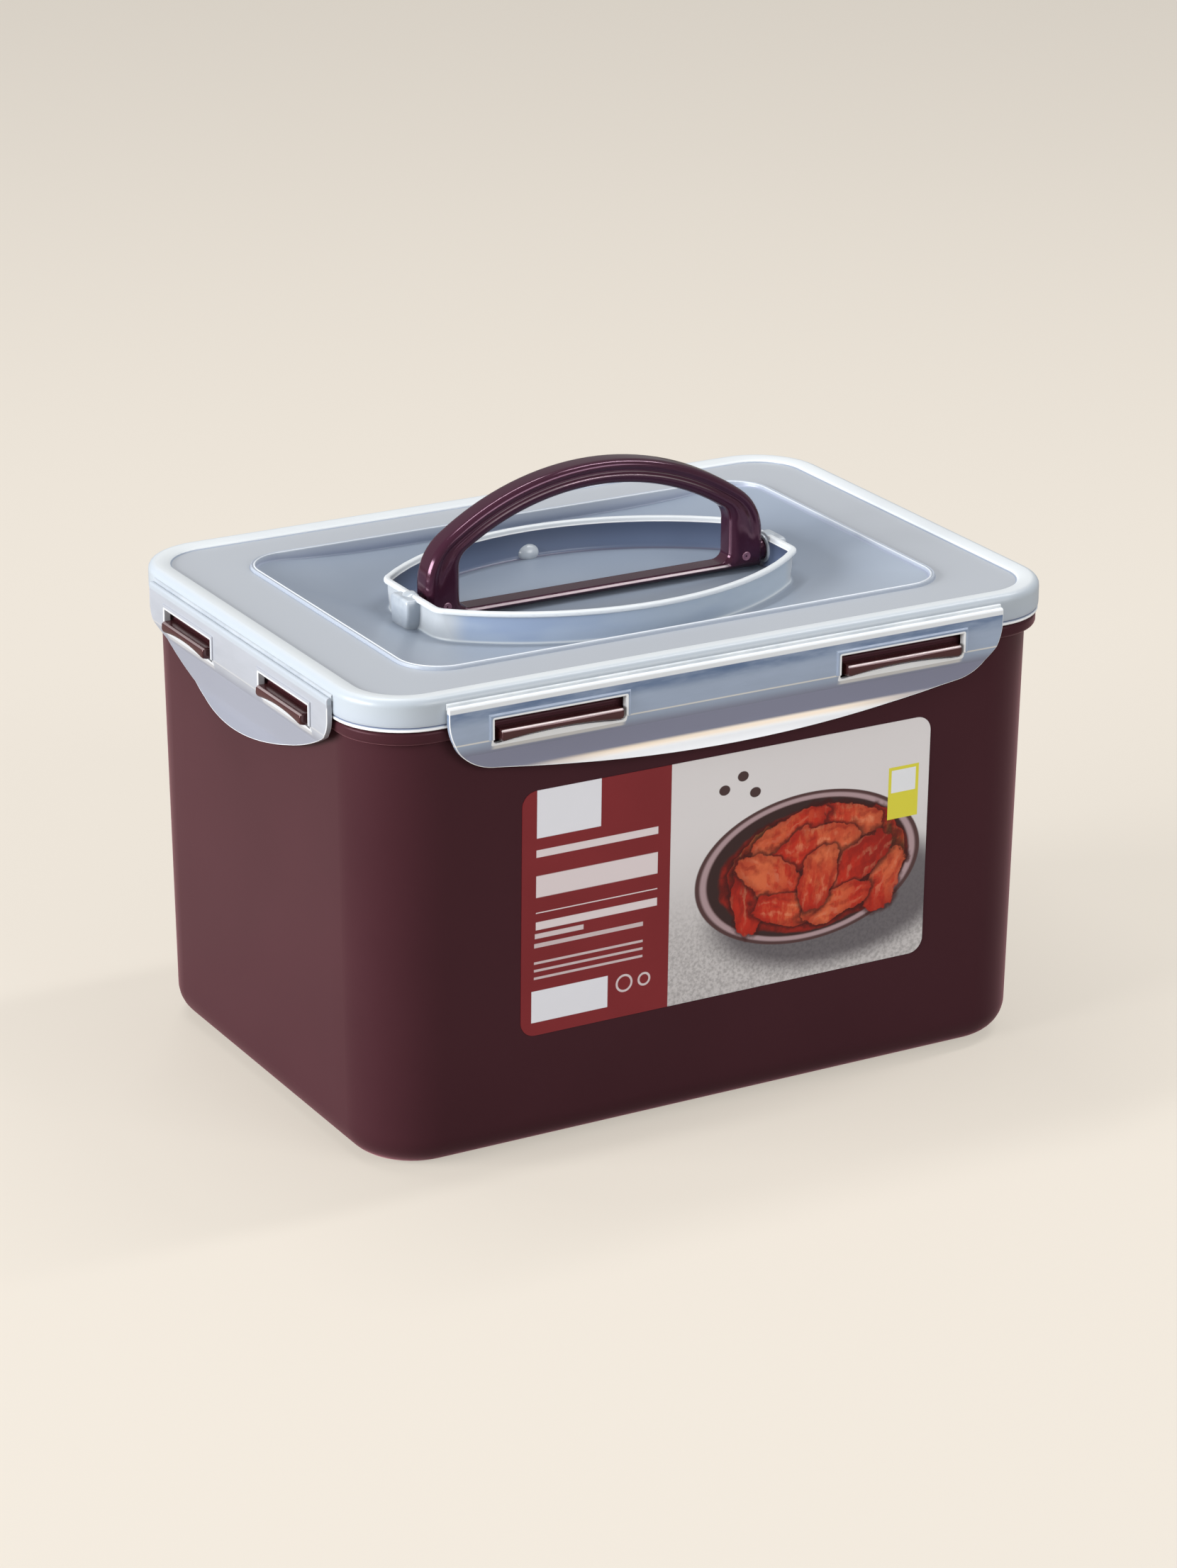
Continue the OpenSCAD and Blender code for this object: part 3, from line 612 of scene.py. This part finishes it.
def lid_plastic(look):
    """Frosted plastic: milky where thick, bluer over the hollow panel and in the well; with painted highlights and
    shade.
    """
    shade = Shade("Frosted lid plastic")
    x, y, z = shade.place()
    panel = shade.beyond(abs(x) - PANEL[0], abs(y) - PANEL[1]) - 12.8
    rim = shade.beyond(abs(x) - LID[0], abs(y) - LID[1])
    lean = abs(y) + WELL_SHIFT
    well = ((x * x + lean * lean).root() - WELL_R).high(abs(x) - WELL_HALF)
    cloud = shade.noise(11.0, 3.0, 0.6).ramp(0.25, 0.75)
    sweep = shade.noise(30.0, 2.0, 0.6, (1, 1, 4)).ramp(0.35, 0.65)
    lip = rim.ramp(21.5, 22.2)

    # the bead: a painted highlight along its inner ridge, painted shade in the groove at its outer foot
    bead = shade.paint(
        srgb(164, 172, 184),
        (abs(panel - 0.62).ramp(0.34, 0.2), srgb(206, 211, 217)),
        (panel.ramp(1.7, 2.0), srgb(150, 160, 176)))
    plain = shade.paint(
        shade.mix(cloud, look.panel_low, look.panel_high),
        (y.ramp(10.0, -60.0) * 0.6, srgb(160, 169, 181)))
    # a wall is darker low down, painted shade at the foot of the recess
    inner = shade.mix(panel.ramp(-0.9, -0.25), plain,
                      shade.mix(z.ramp(149.2, 152.6), srgb(124, 134, 154), srgb(150, 158, 176)))
    # the well's wall turns blue where it is thin, between a milky foot and a white rim that is a painted highlight
    # along its lip
    wall = shade.paint(
        look.wall_blue,
        ((x.ramp(-52.0, 48.0) * 0.85 + sweep * 0.3).low(1.0), look.wall_pale),
        (abs(x).ramp(56.0, 62.0), look.wall_milk),
        (z.ramp(146.0, 145.4), srgb(190, 198, 204)),
        (z.ramp(153.3, 153.7), srgb(214, 219, 223)))
    # inside the well: darker higher up, with a painted highlight along the lip
    pocket = shade.paint(
        look.pocket_low,
        (z.ramp(146.0, 154.0), look.pocket_high),
        (z.ramp(153.75, 154.0), srgb(232, 235, 236)))
    colour = shade.paint(
        look.border_low,
        (cloud, look.border_high),
        # skirt: darker over the shoulder with painted shade, bluer towards its foot, a dark line of painted shade
        # in the groove above the lip, and the lip white with a painted highlight
        (rim.ramp(19.8, 22.4), srgb(176, 185, 194)),
        (z.ramp(150.5, 145.6) * rim.ramp(22.0, 22.5), srgb(176, 185, 196)),
        (z.between(144.84, 145.2, 0.12) * lip, srgb(84, 98, 134)),
        (z.ramp(144.7, 144.4) * lip, srgb(248, 250, 252)),
        # ring, with a fine dark line of painted shade along the border's step
        (rim.ramp(15.7, 15.4), look.ring),
        (rim.between(15.36, 15.8, 0.1), srgb(138, 148, 164)),
        (panel.ramp(2.25, 1.95), bead),
        (panel.ramp(0.32, 0.12), inner),
        # well: its wall, its inside, and its floor, darker next to the wall with painted shade
        (well.ramp(0.25, 0.05) * z.ramp(145.12, 145.4), wall),
        (well.ramp(-2.05, -2.25) * z.ramp(154.4, 154.0), pocket),
        (well.ramp(-2.6, -2.9) * z.ramp(145.7, 145.4),
         shade.mix(well.ramp(-4.4, -3.2), inner, srgb(104, 106, 126))))
    return shade.frosted(colour, roughness=0.36, grain=0.1, coat=0.08, coat_roughness=0.14)


def milky_plastic(name, low, high):
    """Thick or edge-lit frosted plastic: pale and cloudy."""
    shade = Shade(name)
    cloud = shade.noise(90.0, 3.0, 0.6).ramp(0.3, 0.7)
    return shade.frosted(shade.mix(cloud, low, high), roughness=0.3, grain=0.1, coat=0.3, coat_roughness=0.1)


def slot_distances(shade, kind):
    """A flap's coordinates x and z, the distance from its slots' middles, and that beyond their outlines."""
    x, y, z = shade.place()
    off = abs(abs(x if kind is LONG_SIDE else y) - kind.slot)
    return x, z, off, shade.beyond(off - kind.slot_half, abs(z - SLOT_Z) - SLOT_RISE)


def flap_plastic(name, look, kind, upper, lower):
    """Frosted flap plastic: blue under its hinge, a cream line of painted highlight on its crease, painted shade
    below, white round its slots.
    """
    shade, short = Shade(name), kind is SHORT_SIDE
    x, z, off, around = slot_distances(shade, kind)
    streak = shade.noise(60.0, 3.0, 0.6, (1, 1, 5)).ramp(0.3, 0.7)
    # darker below the crease: painted shade where the flap leans in and faces down, and the dark container seen
    # through it
    colour = shade.paint(
        upper,
        (streak * 0.5, toned(upper, 0.88)),
        (z.ramp(137.9, 133.4), lower))
    if not short:
        # the long flaps: blue under the hinge, and a painted reflection of the floor, cream then white, on the
        # middle of the lip
        middle = abs(x).ramp(84.0, 34.0)
        colour = shade.paint(
            colour,
            (z.ramp(143.2, 147.6) * (0.4 + streak * 0.6), look.under_hinge),
            (z.ramp(128.6, 127.6) * middle, srgb(247, 230, 208)),
            (z.ramp(127.4, 126.0) * middle, srgb(243, 245, 248)))
    # painted highlights: a cream line along the crease and a cream band below the slots, white round the slots and
    # on the hinge barrel, weaker on the short flaps
    sill = z.between(135.0, 136.9, 0.3) * off.ramp(kind.slot_half + 1.0, kind.slot_half - 1.0)
    colour = shade.paint(
        colour,
        (z.between(138.1, 138.6, 0.12) * (0.25 if short else 0.85), look.crease),
        (sill * (0.3 if short else 0.7), look.crease),
        (around.ramp(0.8, 0.6), srgb(208, 211, 215) if short else srgb(240, 242, 244)),
        (z.ramp(148.3, 148.6), srgb(172, 180, 189) if short else srgb(228, 232, 236)))
    return shade.frosted(colour, roughness=0.32, grain=0.08, coat=0.12, coat_roughness=0.12)


def flap_edge(name, kind, tone):
    """The rounded edges of a flap: a painted highlight, but plain where they run round the slots' raised frames.
    """
    shade = Shade(name)
    _, z, _, around = slot_distances(shade, kind)
    # a painted highlight on the edges; on the short flaps it fades to plain near the hinge
    painted_bright = srgb(236, 239, 242)
    if kind is SHORT_SIDE:
        painted_bright = shade.mix(z.ramp(147.0, 148.0), srgb(218, 222, 227), tone)
    colour = shade.mix(around.between(0.8, 2.4, 0.1), painted_bright, tone)
    return shade.plastic(Base_Color=colour, Roughness=0.3, IOR=1.49, Coat_Weight=0.15, Coat_Roughness=0.1)


def soft_rubber():
    shade = Shade("Pale silicone")
    tone = shade.noise(40.0, 2.0).ramp(0.3, 0.7)
    return shade.plastic(Base_Color=shade.mix(tone, srgb(214, 214, 210), srgb(226, 226, 222)), Roughness=0.55)


# Leaves in the picture's bowl, from the back to the front one: centre, turn, half length and width in
# millimetres, colour at the rib's foot and at the tip
PALE, RED, DEEP, GREEN = srgb(216, 106, 66), srgb(190, 44, 26), srgb(142, 26, 18), srgb(98, 96, 50)
LEAVES = (
    (58.0, 79.0, -62, 13.0, 7.0, RED, GREEN), (12.0, 80.0, 52, 13.0, 7.0, DEEP, GREEN),
    (44.0, 88.0, -14, 15.0, 6.0, RED, PALE), (24.0, 87.0, 20, 15.0, 6.0, PALE, RED),
    (9.5, 68.0, 96, 11.0, 6.5, RED, DEEP), (59.0, 66.0, -118, 11.0, 6.5, PALE, RED),
    (34.0, 81.0, 6, 17.0, 7.0, RED, PALE), (18.5, 73.0, -32, 14.0, 6.6, PALE, RED),
    (50.0, 73.0, 38, 14.5, 6.6, RED, DEEP), (24.0, 62.0, -12, 13.0, 5.4, RED, PALE),
    (43.0, 61.5, 16, 13.5, 5.4, PALE, RED), (34.5, 70.5, 74, 10.0, 6.6, RED, PALE),
)


def film(look):
    """The printed film: a red band with blank marks, and a picture of red leaves in a dark bowl."""
    shade = Shade("Printed film")
    x, _, z = shade.place()

    def box(left, right, low, high):
        return x.between(left, right, 0.12) * z.between(low, high, 0.12)

    def oval(cx, cz, rx, rz):
        u, v = (x - cx) / rx, (z - cz) / rz
        return (u * u + v * v).root()

    def ring(cx, radius):
        return abs(oval(cx, 49.0, 1.0, 1.0) - radius).ramp(0.45, 0.25) * 0.85

    def grains(scale, stretch=(1, 1, 1)):
        return shade.noise(scale, 3.0, 0.6, stretch)

    # band, with rows of bars for its words, two blank boxes and two rings
    bold = (z.between(96.2, 98.6) + z.between(83.2, 90.2, 0.2) + z.between(78.0, 78.35, 0.08)
            + z.between(72.6, 75.2))
    small = z.between(66.8, 68.2) + z.between(61.4, 62.2) + z.between(58.9, 59.7) + z.between(56.4, 57.2)
    band = shade.paint(
        look.band_low,
        (shade.noise(30.0, 2.0).ramp(0.3, 0.7), look.band_high),
        (x.between(-65.3, -23.2, 0.15) * bold, look.mark),
        (x.between(-65.8, -28.0, 0.15) * small * 0.75, look.mark),
        (box(-65.6, -48.8, 69.8, 71.4) * 0.85, look.mark),
        (box(-65.2, -43.2, 102.4, 120.0) + box(-66.6, -40.1, 42.2, 52.6), look.blank),
        (ring(-34.3, 2.6), look.mark), (ring(-27.3, 1.9), look.mark))
    # ground of the picture, cloth in front, with three dots above the bowl; then the bowl
    bowl = oval(31.0, 75.0, 41.0, 25.0)
    colour = shade.paint(
        look.field,
        (z.ramp(98.0, 56.0), srgb(204, 200, 200)),
        (z.ramp(80.0, 50.0) * grains(900.0).ramp(0.35, 0.7) * 0.5, srgb(120, 116, 116)),
        (oval(40.0, 62.0, 50.0, 24.0).ramp(1.02, 0.72) * 0.85, srgb(78, 72, 78)),
        *((oval(cx, cz, 2.0, 1.7).ramp(1.05, 0.9), srgb(74, 54, 54))
          for cx, cz in ((0.0, 106.0), (6.5, 109.5), (11.0, 103.5))),
        (bowl.ramp(1.005, 0.99), srgb(84, 58, 58)),
        (bowl.between(0.9, 0.955, 0.015), srgb(176, 150, 154)),
        (bowl.ramp(0.9, 0.88), srgb(56, 36, 36)))
    # leaves heaped in it
    warp = grains(70.0) - 0.5
    heap = oval(33.0, 74.0, 35.0, 21.0) + warp * 0.2
    mottle = grains(170.0).ramp(0.35, 0.7)
    colour = shade.mix(heap.ramp(1.0, 0.95), colour, shade.mix(mottle, srgb(96, 20, 16), srgb(150, 34, 24)))
    veins = grains(420.0, (1, 1, 0.4)).ramp(0.4, 0.66)
    ripple = warp * 1.1 + (grains(240.0) - 0.5) * 0.55
    for cx, cz, turn, length, width, rib, tip in LEAVES:
        c, d = math.cos(math.radians(turn)), math.sin(math.radians(turn))
        u = ((x - cx) * c + (z - cz) * d) / length
        v = ((z - cz) * c - (x - cx) * d) / width
        edge = (u * u + v * v).root() + ripple
        fold = (v * 9.0 + ripple * 13.0).wave()
        blade = shade.paint(
            rib,
            ((u * 0.5 + 0.5 + veins * 0.4 - 0.2).ramp(0.1, 0.9), tip),
            (fold.ramp(0.3, 1.0) * veins * 0.3, srgb(238, 170, 130)),
            (fold.ramp(-0.1, -1.0) * mottle * 0.6, srgb(112, 18, 14)),
            (edge.ramp(0.55, 1.0) * 0.45, srgb(126, 22, 16)),
            (mottle * 0.45, srgb(172, 36, 22)))
        colour = shade.paint(
            colour,
            (edge.ramp(1.24, 0.98) * 0.8, srgb(62, 12, 12)),
            (edge.ramp(1.0, 0.93), blade))
    # a blank ticket with a yellow edge
    colour = shade.paint(
        colour,
        (box(59.5, 70.6, 85.2, 102.6), srgb(222, 214, 70)),
        (box(60.6, 69.5, 94.0, 101.5), srgb(232, 234, 238)))
    colour = shade.mix(x.ramp(-18.9, -18.7), band, colour)
    return shade.plastic(Base_Color=colour, Roughness=0.42, IOR=1.5, Specular_IOR_Level=0.3)


# ---- Sizes and colours a user may change -------------------------------------


def colour_prop(name, description, *rgb):
    return bpy.props.FloatVectorProperty(name=name, description=description, default=srgb(*rgb), size=4,
                                         min=0.0, max=1.0, subtype="COLOR")


def power_prop(name, description, watts):
    return bpy.props.FloatProperty(name=name, description=description, default=watts, min=0.0, unit="POWER")


class ContainerLook(bpy.types.PropertyGroup):
    """Colours of the pieces."""
    body: colour_prop("Container", "Colour of the container's walls", 62, 33, 39)
    lug: colour_prop("Lugs", "Colour of the locking lugs", 62, 30, 32)
    handle: colour_prop("Handle", "Colour of the folding handle", 52, 23, 37)
    border_low: colour_prop("Border, darker", "Darker tone of the lid's border", 207, 212, 216)
    border_high: colour_prop("Border, lighter", "Lighter tone of the lid's border", 214, 219, 221)
    ring: colour_prop("Ring", "Colour of the flat ring inside the border", 169, 174, 181)
    panel_low: colour_prop("Panel, darker", "Darker tone of the lid's panel", 131, 142, 158)
    panel_high: colour_prop("Panel, lighter", "Lighter tone of the lid's panel", 141, 151, 165)
    wall_pale: colour_prop("Well wall, pale", "Pale tone of the well's wall", 170, 182, 194)
    wall_blue: colour_prop("Well wall, blue", "Blue tone of the well's wall", 138, 154, 180)
    wall_milk: colour_prop("Well wall, milky", "Milky tone of the well's ends", 176, 182, 188)
    pocket_low: colour_prop("Pocket, low", "Tone low on the inside of the well", 94, 107, 133)
    pocket_high: colour_prop("Pocket, high", "Tone high on the inside of the well", 67, 78, 102)
    under_hinge: colour_prop("Under the hinge", "Blue tone of the flaps under their hinge", 92, 114, 148)
    # the crease's cream line, and the band below the slots, are painted highlights
    crease: colour_prop("Crease", "Cream line along a flap's crease", 224, 220, 212)
    band_low: colour_prop("Band, darker", "Darker tone of the label's red band", 124, 36, 41)
    band_high: colour_prop("Band, lighter", "Lighter tone of the label's red band", 130, 39, 44)
    mark: colour_prop("Marks", "Colour of the bars on the red band", 226, 214, 216)
    blank: colour_prop("Blanks", "Colour of the two blank boxes", 232, 233, 240)
    field: colour_prop("Field", "Colour of the label's pale field", 224, 220, 221)
    floor: colour_prop("Floor", "Colour of the floor", 232, 224, 212)


class ContainerStudio(bpy.types.PropertyGroup):
    """Lamps and camera of the stage."""
    side: power_prop("Side light", "Power of the broad light on the left", 106.0)
    top: power_prop("Top light", "Power of the strip overhead", 7.5)
    front: power_prop("Front light", "Power of the broad light in front", 22.0)
    edge: power_prop("Edge light", "Power of the narrow strip on the right that lights the edges", 7.6)
    world: bpy.props.FloatProperty(name="Surround", description="Strength of the even light from all round",
                                   default=0.36, min=0.0)
    focal: bpy.props.FloatProperty(name="Focal length", description="Focal length of the camera's lens",
                                   default=108.67, min=10.0, unit="CAMERA")


# ---- Operators ---------------------------------------------------------------


class CONTAINER_OT_body(bpy.types.Operator):
    """Builds the container with its locking lugs"""
    bl_idname = "container.body"
    bl_label = "Container"

    def execute(self, context):
        look = context.scene.container_look
        plastic = wine_plastic("Wine plastic", look.body, rough=0.34, grain=0.1, level=0.14,
                               tint=(1.0, 0.6, 0.68, 1), sheen=0.45)
        # the lugs carry a painted highlight along their top front edges
        glossy = wine_plastic("Polished wine plastic", look.lug, rough=0.16, grain=0.03, level=0.8,
                              tint=(1.0, 0.7, 0.72, 1), painted_highlight=lug_highlight)
        dress(container_shell(), plastic, "container", "wine_plastic", "container_body")
        for side, (turn, kind) in SIDES.items():
            for end, way in (("a", -1), ("b", 1)):
                dress(lug_piece(f"lug_{side}_{end}", turn, kind, way), glossy, "container", "wine_plastic")
        return {"FINISHED"}


class CONTAINER_OT_lid(bpy.types.Operator):
    """Builds the lid with its well, sockets and hinge strips"""
    bl_idname = "container.lid"
    bl_label = "Lid"

    def execute(self, context):
        frosted = lid_plastic(context.scene.container_look)
        # the long sides' hinge strips are painted lighter, a painted highlight; the short sides' are darker,
        # painted shade
        painted_bright = milky_plastic("Bright hinge plastic", srgb(198, 205, 211), srgb(218, 223, 227))
        painted_shade_hinge = milky_plastic("Dull hinge plastic", srgb(166, 174, 183), srgb(182, 189, 196))
        milky = milky_plastic("Milky lid plastic", srgb(156, 165, 176), srgb(190, 197, 203))
        dress(lid_shell(), frosted, "container", "frosted_plastic", "lid")
        for side, (turn, kind) in SIDES.items():
            plastic = painted_bright if kind is LONG_SIDE else painted_shade_hinge
            dress(hinge_strip(f"hinge_strip_{side}", turn, kind), plastic, "container", "frosted_plastic")
        for end, side in ENDS:
            dress(socket_piece(f"socket_{end}", side), milky, "container", "frosted_plastic")
            dress(socket_block(f"socket_block_{end}", side), milky, "container", "frosted_plastic")
        for face, side in FACES:
            dress(snap_nub(f"snap_nub_{face}", side), milky, "container", "frosted_plastic")
        return {"FINISHED"}


class CONTAINER_OT_seal(bpy.types.Operator):
    """Gives the seal its silicone"""
    bl_idname = "container.seal"
    bl_label = "Seal"

    def execute(self, context):
        paint_node("seal", soft_rubber())
        return {"FINISHED"}


class CONTAINER_OT_handle(bpy.types.Operator):
    """Builds the folding handle and its pins"""
    bl_idname = "container.handle"
    bl_label = "Handle"

    def execute(self, context):
        look = context.scene.container_look
        # the handle carries a painted highlight along its bar's upper edges and faintly on its bow's ridges
        plastic = wine_plastic("Wine handle plastic", look.handle, rough=0.15, grain=0.015, level=0.62,
                               tint=(1.0, 0.6, 0.82, 1), painted_highlight=bar_highlight)
        # the pin marks are painted lighter than the handle, a painted highlight
        pale = wine_plastic("Pin mark plastic", srgb(128, 88, 106), rough=0.2, grain=0.02, level=0.85,
                            tint=(1.0, 0.85, 0.95, 1))
        dress(handle_bow(), plastic, "carrying_handle", "wine_handle_plastic", "handle")
        for end, side in ENDS:
            dress(handle_pin(f"handle_pin_{end}", side), plastic, "carrying_handle", "wine_handle_plastic")
            for face, way in FACES:
                mark = pin_mark(f"pin_mark_{end}_{face}", 54.0 * side, way)
                dress(mark, pale, "carrying_handle", "wine_handle_plastic")
        return {"FINISHED"}


class CONTAINER_OT_flaps(bpy.types.Operator):
    """Builds the four locking flaps"""
    bl_idname = "container.flaps"
    bl_label = "Flaps"

    def execute(self, context):
        look = context.scene.container_look
        for side in ("front", "back", "left", "right"):
            kind = SIDES[side][1]
            upper, lower = srgb(160, 174, 196), srgb(128, 130, 150)
            if kind is SHORT_SIDE:
                upper, lower = srgb(165, 169, 178), srgb(138, 141, 153)
            faces = flap_plastic(f"Frosted flap plastic, {side}", look, kind, upper, lower)
            piece = copy_of_node(f"flap_{side}", f"locking_flap_{side}")
            dress(piece, faces, f"{side}_flap", "frosted_plastic", f"flap_{side}")
            piece.data.materials.append(flap_edge(f"Bright flap edge, {side}", kind, upper))
        return {"FINISHED"}


class CONTAINER_OT_label(bpy.types.Operator):
    """Prints the film on the front"""
    bl_idname = "container.label"
    bl_label = "Label"

    def execute(self, context):
        paint_node("front_label", film(context.scene.container_look))
        return {"FINISHED"}


# Lamps: name, place, aim, width and height in metres; each takes its power from the studio's settings
LAMPS = {
    "side": ("Side light", (-2.6, 0.15, 0.78), (0, 0, 0.1), (1.9, 0.9)),
    "top": ("Top light", (-0.16, 0.5, 1.55), (0, 0, 0.15), (0.95, 0.11)),
    "edge": ("Edge light", (0.8, -0.05, 1.45), (0, 0, 0.15), (0.1, 0.85)),
    "front": ("Front light", (0.7, -2.0, 1.0), (0, 0, 0.1), (1.4, 1.0)),
}
FLOOR_HALF, FLOOR_GLOW, SKY_GLOW = 12000, 0.58, 0.86

# The camera's azimuth, elevation and roll in degrees, and its aim and distance in millimetres
CAMERA_TURN, CAMERA_AIM, CAMERA_DISTANCE = (-29.389, 20.638, 0.286), Vector((0.87, 3.13, 79.5)), 1522.2


class CONTAINER_OT_stage(bpy.types.Operator):
    """Sets up the floor, the lamps and the camera"""
    bl_idname = "container.stage"
    bl_label = "Stage"

    def execute(self, context):
        scene = context.scene
        studio, pale = scene.container_studio, toned(scene.container_look.floor, 1.0)
        bm = bmesh.new()
        bmesh.ops.create_grid(bm, x_segments=4, y_segments=4, size=FLOOR_HALF)
        floor = finish_mesh("studio_floor", bm)
        shade = Shade("Studio floor")
        colour = shade.mix(shade.noise(1.2, 2.0).ramp(0.3, 0.7), toned(pale, 0.995), pale)
        # it throws little light back, and the camera sees it pale, with a light shadow
        seen = shade.node("ShaderNodeLightPath")
        floor.data.materials.append(shade.plastic(
            Base_Color=shade.mix(0.62, colour, BLACK), Roughness=0.7, Specular_IOR_Level=0.2,
            Emission_Color=shade.mix(seen, BLACK, colour), Emission_Strength=FLOOR_GLOW))

        # dim and even all round, and as pale as the far floor to the camera
        sky = Shade("Studio", "worlds")
        seen = sky.node("ShaderNodeLightPath")
        glow = sky.node("ShaderNodeBackground", None, {
            "Color": sky.mix(seen, (1.0, 0.99, 0.985, 1), pale),
            "Strength": studio.world + seen * (SKY_GLOW - studio.world)})
        sky.node("ShaderNodeOutputWorld", None, {"Surface": glow})
        scene.world = sky.material
        scene.view_settings.view_transform = "Standard"

        for key, (name, place, aim, size) in LAMPS.items():
            data = bpy.data.lights.new(name, "AREA")
            data.shape = "RECTANGLE"
            data.size, data.size_y = size
            data.energy = getattr(studio, key)
            lamp = bpy.data.objects.new(name, data)
            lamp.location = place
            lamp.rotation_euler = (Vector(aim) - Vector(place)).to_track_quat("-Z", "Y").to_euler()
            scene.collection.objects.link(lamp)

        azimuth, elevation, roll = (math.radians(a) for a in CAMERA_TURN)
        back = Vector((math.sin(azimuth) * math.cos(elevation), -math.cos(azimuth) * math.cos(elevation),
                       math.sin(elevation)))
        right = Vector((math.cos(azimuth), math.sin(azimuth), 0))
        up = back.cross(right)
        across = right * math.cos(roll) + up * math.sin(roll)
        upward = up * math.cos(roll) - right * math.sin(roll)
        data = bpy.data.cameras.new("Camera")
        data.lens = studio.focal
        data.sensor_width = 36
        camera = bpy.data.objects.new("Camera", data)
        axes = Matrix((across, upward, back)).transposed().to_4x4()
        camera.matrix_world = Matrix.Translation((CAMERA_AIM + back * CAMERA_DISTANCE) * MM) @ axes
        scene.collection.objects.link(camera)
        scene.camera = camera
        return {"FINISHED"}


class CONTAINER_PT_panel(bpy.types.Panel):
    """Lists the pieces, their colours and the stage"""
    bl_idname = "CONTAINER_PT_panel"
    bl_label = "Kimchi container"
    bl_space_type = "VIEW_3D"
    bl_region_type = "UI"
    bl_category = "Container"

    def draw(self, context):
        for operator in OPERATORS:
            self.layout.operator(operator.bl_idname)
        for group in (context.scene.container_look, context.scene.container_studio):
            box = self.layout.box()
            for key in group.bl_rna.properties.keys():
                if key not in ("rna_type", "name"):
                    box.prop(group, key)


OPERATORS = (CONTAINER_OT_body, CONTAINER_OT_lid, CONTAINER_OT_seal, CONTAINER_OT_handle, CONTAINER_OT_flaps,
             CONTAINER_OT_label, CONTAINER_OT_stage)
GROUPS = {"container_look": ContainerLook, "container_studio": ContainerStudio}
CLASSES = tuple(GROUPS.values()) + OPERATORS + (CONTAINER_PT_panel,)


def register():
    for made in CLASSES:
        bpy.utils.register_class(made)
    for name, group in GROUPS.items():
        setattr(bpy.types.Scene, name, bpy.props.PointerProperty(type=group))


def unregister():
    for name in GROUPS:
        delattr(bpy.types.Scene, name)
    for made in reversed(CLASSES):
        bpy.utils.unregister_class(made)


def main():
    register()
    for operator in OPERATORS:
        family, call = operator.bl_idname.split(".")
        getattr(getattr(bpy.ops, family), call)()


if __name__ == "__main__":
    main()
